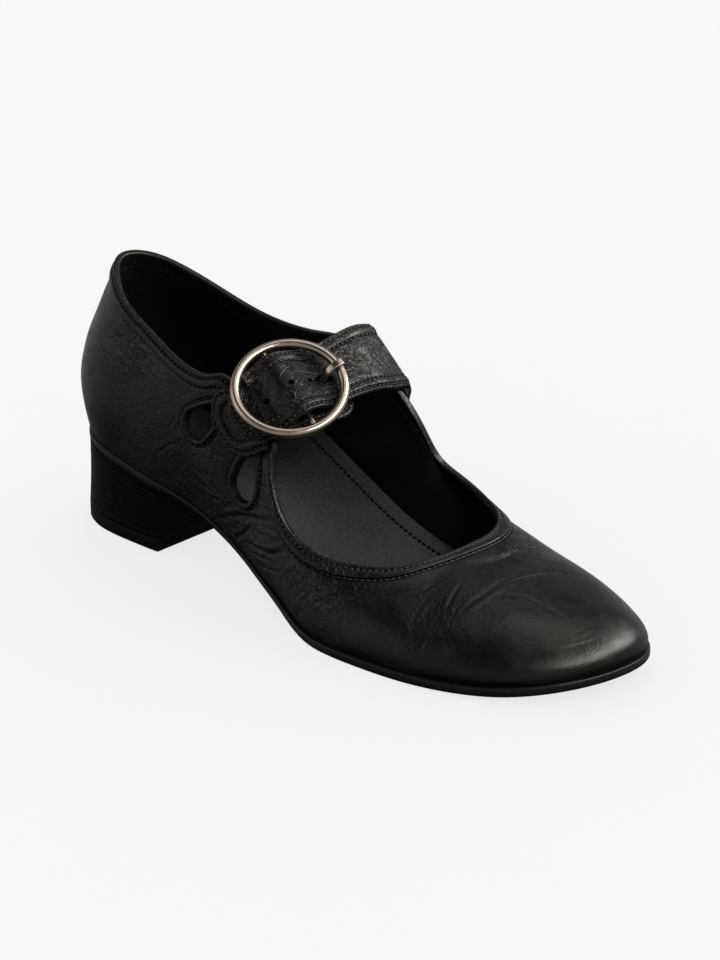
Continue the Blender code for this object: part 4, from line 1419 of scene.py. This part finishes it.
STRAP_STEPS = 170
TAB_STEPS = 130
STRIP_COLUMNS = 46
EDGE_ROUND = 0.9
LAY_GAP = 0.25
REACH_IN = 8.0
SMOOTHINGS = 6
LAYINGS = 2
STRAP_STITCH = (1.5, 4.9)
TAB_STITCH = (2.0, 5.5)
# Puff between the stitch rows and height of the wrinkles, then the stitch grooves' depth and width
STRAP_RELIEF = (0.40, 0.06)
TAB_RELIEF = (0.45, 0.03)
STRIP_GROOVE = (0.35, 0.42)
# Where the puff starts and is full past a stitch row, and where the strip's middle does
PUFF_RUN = (-0.2, 0.7)
MIDDLE_RUN = (0.4, 2.0)
# Wrinkles of a strip: how many, their turns and lengths, how far and how fast they wander and from
# where, their mean, and their part at its edge
WRINKLES = 9
WRINKLE_TURNS = (-0.9, 0.9)
WRINKLE_LENGTHS = (3.5, 9.0)
WRINKLE_WANDER = 0.8
WRINKLE_BENDS = (0.3, 0.8)
WRINKLE_STARTS = (0, 6)
WRINKLE_MEAN = 0.6
EDGE_WRINKLE = 0.25
# Levels of the plain wall that the strips are laid on
UPPER_LEVELS = 40
SEAM_STEP = 0.5
END_FLAT = 0.06
STRAP_ENDS = (6.0, 11.0)
TAB_ENDS = (10.0, 12.5)


def ring_axes():
    """The ring's own axes: along the strap, aside and lift."""
    turn, tilt = math.radians(RING_TURN), math.radians(RING_TILT)
    lift = np.array([math.sin(turn) * math.cos(tilt), -math.cos(turn) * math.cos(tilt), math.sin(tilt)])
    along = np.array(STRAP_HEADING)
    along = unit(along - lift * (along @ lift))
    return along, np.cross(lift, along), lift


def ring_point(along, aside, lift):
    """Points in the ring's axes as points of the shoe."""
    parts = (np.outer(value, axis) for value, axis in zip((along, aside, lift), ring_axes()))
    return np.array(RING_CENTRE) + sum(parts)


def ring_frame(along=0.0, aside=0.0, lift=0.0):
    """Placement in the world of the ring's axes, moved along them."""
    placement = Matrix(np.column_stack(ring_axes()).tolist()).to_4x4()
    placement.translation = Vector(to_world(ring_point([along], [aside], [lift])[0]))
    return placement


def ring_rows(text):
    """Rows in the ring's axes as points, across directions and half widths."""
    table = rows_of(text)
    points = ring_point(table["along"], table["aside"], table["lift"])
    _, aside, lift = ring_axes()
    turn = unit(aside + np.outer(table["tilt"], lift))
    return np.column_stack([points, turn, table["half"]])


def path_in_ring(text, half, aside=0.0):
    """A path of along and lift in the ring's axes as rows for a strip."""
    table = rows_of(text)
    points = ring_point(table["along"], np.full(len(table["along"]), aside), table["lift"])
    turn = np.tile(ring_axes()[1], (len(points), 1))
    return np.column_stack([points, turn, np.full(len(points), half)])


def shoe_rows(text):
    """Rows in the shoe's axes, with the same columns."""
    return np.column_stack(list(rows_of(text).values()))


def smooth_upper_tree():
    """The upper's outer surface without its creases, to lay the straps on."""
    place = places_around(AROUND)
    rows = [rib_point(place, np.full(AROUND, k / UPPER_LEVELS)) for k in range(UPPER_LEVELS)]
    rows.append(skin_point(place, np.ones(AROUND), size("band_raise")))
    points = [Vector(p) for p in np.concatenate(rows)]
    return BVHTree.FromPolygons(points, ring_faces(len(rows), AROUND, wrap=False))


def laid_outside(points, clear, tree):
    """How far points that lie too near the upper move out to be clear of it."""
    moves = np.zeros_like(points)
    for k, p in enumerate(points):
        near, normal, _, _ = tree.find_nearest(Vector(p))
        away = Vector(p) - near
        height = away.dot(normal)
        if away.length < clear or (height < 0 and away.length < REACH_IN):
            moves[k] = np.array(normal) * (clear - height)
    return moves


def even_out(grid):
    """Averages a grid of moves with its neighbours."""
    for _ in range(SMOOTHINGS):
        wide = np.pad(grid, ((1, 1), (1, 1), (0, 0)), mode="edge")
        around = wide[:-2, 1:-1] + wide[2:, 1:-1] + wide[1:-1, :-2] + wide[1:-1, 2:]
        grid = (wide[1:-1, 1:-1] * 2 + around) / 6
    return grid


def rounded_end(distance, reach):
    """Part of the full width at a distance from an end that is rounded over a reach."""
    part = np.clip(distance / max(reach, SMALL) + END_FLAT, 0.0, 1.0)
    return np.sqrt(1 - (1 - part) ** 2)


class Strip:
    """A flat leather strip along a spline of points, across directions and half widths."""

    def __init__(self, path, thick, rows, columns, ends=None, relief=None, tree=None, edge_round=EDGE_ROUND):
        spline = Spline(path[:, :3], path)
        even = np.linspace(0, 1, rows)
        self.place = spline.length * (even + (1 - np.cos(np.pi * even)) / 2) / 2
        value, slope = spline.at(self.place), spline.at(self.place, slope=True)
        turn = unit(value[:, 3:6])
        self.lift = unit(np.cross(unit(slope[:, :3]), turn))
        self.half = value[:, 6]
        if ends:
            self.half = self.half * rounded_end(self.place, ends[0])
            self.half = self.half * rounded_end(spline.length - self.place, ends[1])
        aside = self.half[:, None] * np.sin(np.pi / 2 * np.linspace(-1, 1, columns))
        along = np.broadcast_to(self.place[:, None], aside.shape)
        middle = value[:, None, :3] + aside[..., None] * turn[:, None]
        sides = [np.column_stack([self.place, self.half]), np.column_stack([self.place, -self.half])[::-1]]
        self.outline = np.vstack([*sides, sides[0][:1]])
        spots = np.column_stack([along.ravel(), aside.ravel()])
        edge = nearest_on_line(spots, self.outline)[0].reshape(aside.shape)
        rounding = np.clip(edge / edge_round, 0.0, 1.0)
        half_thick = thick / 2 * np.sqrt(1 - (1 - rounding) ** 2)
        if tree:
            for _ in range(LAYINGS):
                moves = laid_outside(middle.reshape(-1, 3), thick / 2 + LAY_GAP, tree).reshape(middle.shape)
                middle = middle + even_out(moves)
        face = half_thick
        if relief:
            face = half_thick + relief(along, aside, edge) * rounding
        self.edge = edge
        self.top = middle + face[..., None] * self.lift[:, None]
        self.low = middle - half_thick[..., None] * self.lift[:, None]

    def piece(self, name, material):
        """The strip as a closed piece."""
        loop = np.concatenate([self.top, self.low[:, -2:0:-1]], axis=1)
        rows, count = loop.shape[:2]
        columns = self.top.shape[1]
        faces = ring_faces(rows, count, wrap=False)
        for start in (0, (rows - 1) * count):
            for j in range(columns - 1):
                under = [start + (2 * columns - 2 - k) % count for k in (j + 1, j)]
                faces.append(tuple(dict.fromkeys((start + j, start + j + 1, *under))))
        edge = np.concatenate([self.edge, np.full(self.low[:, -2:0:-1].shape[:2], FAR)], axis=1)
        return make_piece(name, loop.reshape(-1, 3), faces, [material], weld=True, edge=edge.ravel())

    def on_top(self, along, aside):
        """Points on the top face and their normals, at distances along and aside."""
        columns = self.top.shape[1]
        row = np.interp(along, self.place, np.arange(len(self.place)))
        part = np.clip(aside / np.interp(along, self.place, self.half), -1, 1)
        column = (np.arcsin(part) * 2 / np.pi + 1) / 2 * (columns - 1)
        r, c = np.minimum(row.astype(int), len(self.place) - 2), np.minimum(column.astype(int), columns - 2)
        up, over = (row - r)[:, None], (column - c)[:, None]
        low = self.top[r, c] * (1 - over) + self.top[r, c + 1] * over
        high = self.top[r + 1, c] * (1 - over) + self.top[r + 1, c + 1] * over
        return low * (1 - up) + high * up, self.lift[r]

    def seam(self, inset):
        """A closed line of points with normals at an inset from the strip's edge."""
        walked = walked_along(self.outline)
        even = np.arange(0.0, walked[-1], SEAM_STEP)
        line = np.column_stack([np.interp(even, walked, self.outline[:, k]) for k in range(2)])
        run = unit(np.roll(line, -1, axis=0) - np.roll(line, 1, axis=0))
        moved = line + inset * np.column_stack([run[:, 1], -run[:, 0]])
        clear = nearest_on_line(moved, self.outline)[0] > inset - SEAM_STEP / 5
        return self.on_top(*moved[clear].T)


def stitched_relief(rows, puff, wrinkle):
    """Relief of a strip: a puffed strip between two stitch rows, and wrinkles in its middle."""

    def relief(along, aside, edge):
        first, second = rows
        deep, wide = STRIP_GROOVE
        outer, full = PUFF_RUN
        between = smooth_step(edge, first + outer, first + full)
        between = between * (1 - smooth_step(edge, second - full, second - outer))
        face = puff * between - deep * hump(edge, first, wide) - deep * hump(edge, second, wide)
        inner = smooth_step(edge, *(second + run for run in MIDDLE_RUN))
        source = np.random.default_rng(SEED)
        waves = np.zeros_like(edge)
        for _ in range(WRINKLES):
            turn, span = source.uniform(*WRINKLE_TURNS), source.uniform(*WRINKLE_LENGTHS)
            run = along * math.cos(turn) + aside * math.sin(turn)
            bend = aside * source.uniform(*WRINKLE_BENDS) + source.uniform(*WRINKLE_STARTS)
            run = run + WRINKLE_WANDER * np.sin(bend)
            waves += np.abs(np.sin(run * np.pi / span + source.uniform(0, np.pi))) - WRINKLE_MEAN
        return face + wrinkle * waves * (EDGE_WRINKLE + (1 - EDGE_WRINKLE) * inner)

    return relief


def build_strips():
    """The strap and the tab."""
    tree = smooth_upper_tree()
    strap_path = np.vstack([shoe_rows(STRAP_MEDIAL), ring_rows(STRAP_RING)])
    tab_path = np.vstack([ring_rows(TAB_RING), shoe_rows(TAB_QUARTER)])
    thick = size("strap")
    relief = stitched_relief(STRAP_STITCH, *STRAP_RELIEF)
    strap = Strip(strap_path, thick, STRAP_STEPS, STRIP_COLUMNS, STRAP_ENDS, relief, tree)
    relief = stitched_relief(TAB_STITCH, *TAB_RELIEF)
    return strap, Strip(tab_path, thick, TAB_STEPS, STRIP_COLUMNS, TAB_ENDS, relief, tree)


def punch_holes(strap):
    """Punches the holes along the strap; the one in use is drawn out along it."""
    for name, hole in named_rows(HOLES).items():
        placement = ring_frame(hole["along"], hole["aside"]) @ Matrix.Diagonal((hole["stretch"], 1, 1, 1))
        wide = hole["radius"] * MM
        sizes = dict(cap_ends=True, segments=HOLE_STEPS, radius1=wide, radius2=wide, depth=HOLE_DEPTH * MM)
        cut_away(strap, plain_form(f"hole_{name}", bmesh.ops.create_cone, placement, **sizes))


def bar_loop(material):
    """The leather loop round the ring's bar, slotted for the prong."""
    path = path_in_ring(LOOP_PATH, LOOP_HALF)
    strip = Strip(path, LOOP_THICK, LOOP_STEPS, LOOP_COLUMNS, edge_round=LOOP_ROUND)
    loop = strip.piece("loop_leather", material)
    low, high = np.array([LOOP_SLOT_LONG, LOOP_SLOT_WIDE, LOOP_SLOT_DEEP]).T
    placement = ring_frame(*(low + high) / 2) @ Matrix.Diagonal((*(high - low), 1))
    cut_away(loop, plain_form("loop_slot", bmesh.ops.create_cube, placement, size=MM))
    return loop


class SHOE_OT_straps(bpy.types.Operator):
    """Makes the instep strap with its holes, the buckle tab and the loop round the bar"""

    bl_idname = "shoe.straps"
    bl_label = "Straps"

    def execute(self, context):
        strap, tab = build_strips()
        black = finishes()["strap_hide"]
        strap_piece = strap.piece("strap_leather", black)
        punch_holes(strap_piece)
        tab_piece = tab.piece("tab_leather", finishes()["tab_hide"])
        loop_piece = bar_loop(black)
        for piece, node in ((strap_piece, "strap"), (tab_piece, "buckle_tab"), (loop_piece, "buckle_loop")):
            sharpen(piece, CRISP)
            belongs(piece, "strap_leather", node)
        sew("strap_stitches", [strap.seam(inset) for inset in STRAP_STITCH], "strap_leather")
        sew("tab_stitches", [tab.seam(inset) for inset in TAB_STITCH], "strap_leather")
        return {"FINISHED"}


# Buckle

RING_STEPS = 144
WIRE_STEPS = 28
BAR_STEPS = 24


class SHOE_OT_buckle(bpy.types.Operator):
    """Makes the ring with its bar, and the prong"""

    bl_idname = "shoe.buckle"
    bl_label = "Buckle"

    def execute(self, context):
        metal = finishes()["warm_nickel"]
        turn = turns(RING_STEPS)
        wire = turns(WIRE_STEPS)
        far = size("ring") + size("wire") * np.cos(wire)
        lift = np.broadcast_to(size("wire") * np.sin(wire), (RING_STEPS, WIRE_STEPS))
        along, aside = np.outer(np.cos(turn), far), np.outer(np.sin(turn), far)
        points = ring_point(along.ravel(), aside.ravel(), lift.ravel())
        faces = ring_faces(RING_STEPS, WIRE_STEPS, wrap=True)
        round_bar = turns(BAR_STEPS)
        ends = []
        for side in (-size("ring"), size("ring")):
            along = size("bar") * np.cos(round_bar)
            lift = size("bar") * np.sin(round_bar) - BAR_DROP
            ends.append(ring_point(along, np.full(BAR_STEPS, side), lift))
        shift = len(points)
        bar_faces = ring_faces(2, BAR_STEPS, wrap=False)
        bar_faces += [tuple(range(BAR_STEPS)), tuple(range(BAR_STEPS, 2 * BAR_STEPS))]
        faces += [tuple(k + shift for k in face) for face in bar_faces]
        ring = make_piece("ring_wire", np.vstack([points, *ends]), faces, [metal])
        sharpen(ring, CRISP)
        belongs(ring, "buckle_metal", "buckle_ring")
        path = path_in_ring(PRONG_PATH, PRONG_HALF, PRONG_ASIDE)
        prong = Strip(path, PRONG_THICK, PRONG_STEPS, PRONG_COLUMNS, edge_round=PRONG_ROUND)
        belongs(prong.piece("prong_bar", metal), "buckle_metal", "buckle_prong")
        return {"FINISHED"}


# Stitches

THREAD_SIDES = 7
# A stitch along its length: place in it, then thickness and height in radii of the thread
THREAD_PROFILE = (
    (-0.5, 0.45, -0.55),
    (-0.42, 0.85, -0.1),
    (-0.2, 1.0, 0.35),
    (0.2, 1.0, 0.35),
    (0.42, 0.85, -0.1),
    (0.5, 0.45, -0.55),
)
# Part of the pitch that the thread shows, and how deep the lining's stitches lie under the wall
STITCH_FILL = 0.74
LINING_SINK = 0.18


def sew(name, runs, slot, thread="thread"):
    """Sews stitches along lines of points with normals: short threads that dip in at both ends."""
    radius, pitch = size("thread"), size("stitch")
    points, faces = [], []
    around = turns(THREAD_SIDES)
    for line, normals in runs:
        walked = walked_along(line)
        for middle in np.arange(pitch / 2, walked[-1] - pitch / 2, pitch):
            ends = middle + np.array([-0.5, 0.0, 0.5]) * pitch * STITCH_FILL
            rear, spot, front = (between_points(s, walked, line) for s in ends)
            up = between_points(middle, walked, normals)
            run = unit(front - rear)
            side = unit(np.cross(run, up))
            up = np.cross(side, run)
            start = len(points)
            for part, wide, high in THREAD_PROFILE:
                centre = spot + run * part * pitch * STITCH_FILL + up * high * radius
                ring = np.outer(np.cos(around), side) + np.outer(np.sin(around), up)
                points.extend(centre + ring * radius * wide)
            rings = len(THREAD_PROFILE)
            faces += [tuple(start + k for k in face) for face in ring_faces(rings, THREAD_SIDES, wrap=False)]
            faces.append(tuple(range(start, start + THREAD_SIDES)))
            faces.append(tuple(range(start + (rings - 1) * THREAD_SIDES, start + rings * THREAD_SIDES)))
    piece = make_piece(name, np.array(points), faces, [finishes()[thread]])
    belongs(piece, slot)


class SHOE_OT_stitches(bpy.types.Operator):
    """Sews the two rows along the topline, the rims of the cut-outs and the lining's facing"""

    bl_idname = "shoe.stitches"
    bl_label = "Stitches"

    def execute(self, context):
        place = np.append(wall_places(), RIBS.length)
        runs = []
        for distance in STITCH_ROWS:
            rise = rise_below_top(place, distance)
            runs.append((skin_point(place, rise, band_profile(distance)), skin_normal(place, rise)))
        sew("topline_stitches", runs, "upper_leather")
        rise = rise_below_top(place, LINING_ROW)
        inside = skin_point(place, rise, -size("wall") - LINING_SINK)
        sew("lining_stitches", [(inside, -skin_normal(place, rise))], "upper_leather", "dark_thread")
        mesh = bpy.data.objects["upper_leather"].data
        tree = BVHTree.FromPolygons([v.co for v in mesh.vertices], [p.vertices for p in mesh.polygons])
        runs = []
        for drop in named_rows(CUT_OUTS).values():
            hits = []
            for x, z in teardrop(drop, outset=RIM_SEAM):
                start = Vector(to_world([x, 2 * CUT_DEPTH[0], z]))
                spot, normal, _, _ = tree.ray_cast(start, Vector((0, 1, 0)))
                hits.append((np.array(spot) / MM + [*PLAN_CENTRE, 0.0], np.array(normal)))
            runs.append(tuple(np.array(part) for part in zip(*hits)))
        sew("cut_out_stitches", runs, "upper_leather")
        return {"FINISHED"}


# Stage

# Floor: steps, half width in metres, tint of its specks, then shine, roughness, specks and bump
FLOOR_STEPS = 8
FLOOR_HALF = 3.0
FLOOR_SPECK = 0.985
FLOOR_FINISH = (0.2, 0.7, 60.0, 0.02)
WHITE = (1.0, 1.0, 1.0, 1.0)
BLACK = (0.0, 0.0, 0.0, 1.0)
# Soft boxes: name, turn and height of the way to it in degrees, then distance, width and depth in metres
SOFT_BOXES = (
    ("key", 28.0, 45.0, 1.2, 1.90, 0.46),
    ("overhead", 105.0, 74.0, 1.4, 0.80, 0.80),
    ("fill", -135.0, 25.0, 1.3, 0.90, 0.90),
)
LIGHT_TARGET = (0.02, 0.0, 0.03)
# Tone of the surround from straight down to straight up
SURROUND_STOPS = (
    (0.0, 0.01),
    (0.09, 0.04),
    (0.16, 0.15),
    (0.25, 0.7),
    (0.42, 1.0),
    (0.55, 1.2),
    (0.66, 1.0),
    (0.84, 0.45),
    (0.94, 0.3),
    (1.0, 0.25),
)
# The surround is dimmed high up on the lateral side: heights and ways aside where that starts and
# is full, and by how much
DIM_HEIGHT = (0.6, 0.85)
DIM_ASIDE = (0.1, -0.5)
DIM_PART = 0.85


def way_to(turn, height):
    """Direction at a turn from +x and a height, both in degrees."""
    turn, height = math.radians(turn), math.radians(height)
    flat = math.cos(height)
    return Vector((math.cos(turn) * flat, math.sin(turn) * flat, math.sin(height)))


def aimed(thing, place, way):
    """Puts a light or a camera at a place, looking back along a way, and gives its object."""
    made = bpy.data.objects.new(thing.name, thing)
    made.location = place
    made.rotation_euler = (-way).to_track_quat("-Z", "Y").to_euler()
    bpy.context.scene.collection.objects.link(made)
    return made


def lay_floor(glow):
    """Lays the pale floor, which glows evenly and isn't mirrored in the shoe."""
    sizes = dict(x_segments=FLOOR_STEPS, y_segments=FLOOR_STEPS, size=FLOOR_HALF)
    floor = plain_form("studio_floor", bmesh.ops.create_grid, **sizes)
    pale = colour("floor")
    finish = plain_finish("pale_floor", pale, tinted(pale, FLOOR_SPECK), *FLOOR_FINISH)
    shader = finish.node_tree.nodes["Principled BSDF"]
    shader.inputs["Emission Color"].default_value = WHITE
    shader.inputs["Emission Strength"].default_value = glow
    floor.data.materials.append(finish)
    floor.visible_diffuse = False
    floor.visible_glossy = False


def light_surround(scene, strength):
    """Lights the scene from all round, by height."""
    world = bpy.data.worlds.new("studio_surround")
    world.use_nodes = True
    tree = world.node_tree
    way = add(tree, "ShaderNodeTexCoord").outputs["Generated"]
    parts = add(tree, "ShaderNodeSeparateXYZ", {0: way}).outputs
    ramp = add(tree, "ShaderNodeValToRGB", {0: spread(tree, parts["Z"], -1.0, 1.0)})
    stops = ramp.color_ramp.elements
    while len(stops) < len(SURROUND_STOPS):
        stops.new(1.0)
    for stop, (place, tone) in zip(stops, SURROUND_STOPS):
        stop.position = place
        stop.color = (tone, tone, tone, 1.0)
    start, full = DIM_ASIDE
    aside = spread(tree, parts["Y"], full, start, DIM_PART, 0.0)
    front = product(tree, spread(tree, parts["Z"], *DIM_HEIGHT), aside)
    surround = tree.nodes["Background"]
    dim = blend_colours(tree, front, ramp.outputs["Color"], BLACK)
    tree.links.new(dim, surround.inputs["Color"])
    surround.inputs["Strength"].default_value = strength
    scene.world = world


def set_soft_boxes(studio):
    """Sets the soft boxes, which light the shoe and not the floor."""
    shoe_only = bpy.data.collections.new("lit_by_boxes")
    for name, turn, height, far, wide, deep in SOFT_BOXES:
        light = bpy.data.lights.new(f"{name}_box", "AREA")
        light.energy = getattr(studio, name)
        light.shape = "RECTANGLE"
        light.size = wide
        light.size_y = deep
        way = way_to(turn, height)
        box = aimed(light, far * way + Vector(LIGHT_TARGET), way)
        box.light_linking.receiver_collection = shoe_only


def set_camera(scene):
    """Sets the camera at the photograph's angle."""
    lens = bpy.data.cameras.new("photo_camera")
    lens.lens = CAMERA_LENS
    lens.sensor_width = SENSOR
    back = way_to(CAMERA_TURN, CAMERA_HEIGHT)
    place = Vector(to_world(CAMERA_TARGET)) + back * CAMERA_DISTANCE * MM
    scene.camera = aimed(lens, place, back)


class SHOE_OT_stage(bpy.types.Operator):
    """Sets the pale floor, the soft studio light and the camera"""

    bl_idname = "shoe.stage"
    bl_label = "Stage"

    def execute(self, context):
        scene = context.scene
        studio = scene.studio_light
        lay_floor(studio.glow)
        light_surround(scene, studio.surround)
        set_soft_boxes(studio)
        set_camera(scene)
        scene.view_settings.view_transform = "Standard"
        return {"FINISHED"}


class SHOE_PT_panel(bpy.types.Panel):
    """Lists the steps that make the shoe"""

    bl_idname = "SHOE_PT_panel"
    bl_label = "Heeled bar shoe"
    bl_space_type = "VIEW_3D"
    bl_region_type = "UI"
    bl_category = "Shoe"

    def draw(self, context):
        for step in STEPS:
            self.layout.operator(step.bl_idname)
        for group in (context.scene.shoe_sizes, context.scene.shoe_colours, context.scene.studio_light):
            for name in group.__annotations__:
                self.layout.prop(group, name)


STEPS = (
    SHOE_OT_stage,
    SHOE_OT_upper,
    SHOE_OT_outsole,
    SHOE_OT_sock,
    SHOE_OT_heel,
    SHOE_OT_straps,
    SHOE_OT_buckle,
    SHOE_OT_stitches,
)
GROUPS = {"shoe_sizes": ShoeSizes, "shoe_colours": ShoeColours, "studio_light": StudioLight}


def register():
    """Registers the property groups, the operators and the panel."""
    for group in GROUPS.values():
        bpy.utils.register_class(group)
    for name, group in GROUPS.items():
        setattr(bpy.types.Scene, name, PointerProperty(type=group))
    for step in (*STEPS, SHOE_PT_panel):
        bpy.utils.register_class(step)


def unregister():
    """Takes everything out again, in reverse."""
    for step in (SHOE_PT_panel, *reversed(STEPS)):
        bpy.utils.unregister_class(step)
    for name in GROUPS:
        delattr(bpy.types.Scene, name)
    for group in GROUPS.values():
        bpy.utils.unregister_class(group)


def main():
    """Makes the shoe and its stage."""
    register()
    bpy.ops.shoe.stage()
    bpy.ops.shoe.upper()
    bpy.ops.shoe.outsole()
    bpy.ops.shoe.sock()
    bpy.ops.shoe.heel()
    bpy.ops.shoe.straps()
    bpy.ops.shoe.buckle()
    bpy.ops.shoe.stitches()


if __name__ == "__main__":
    main()
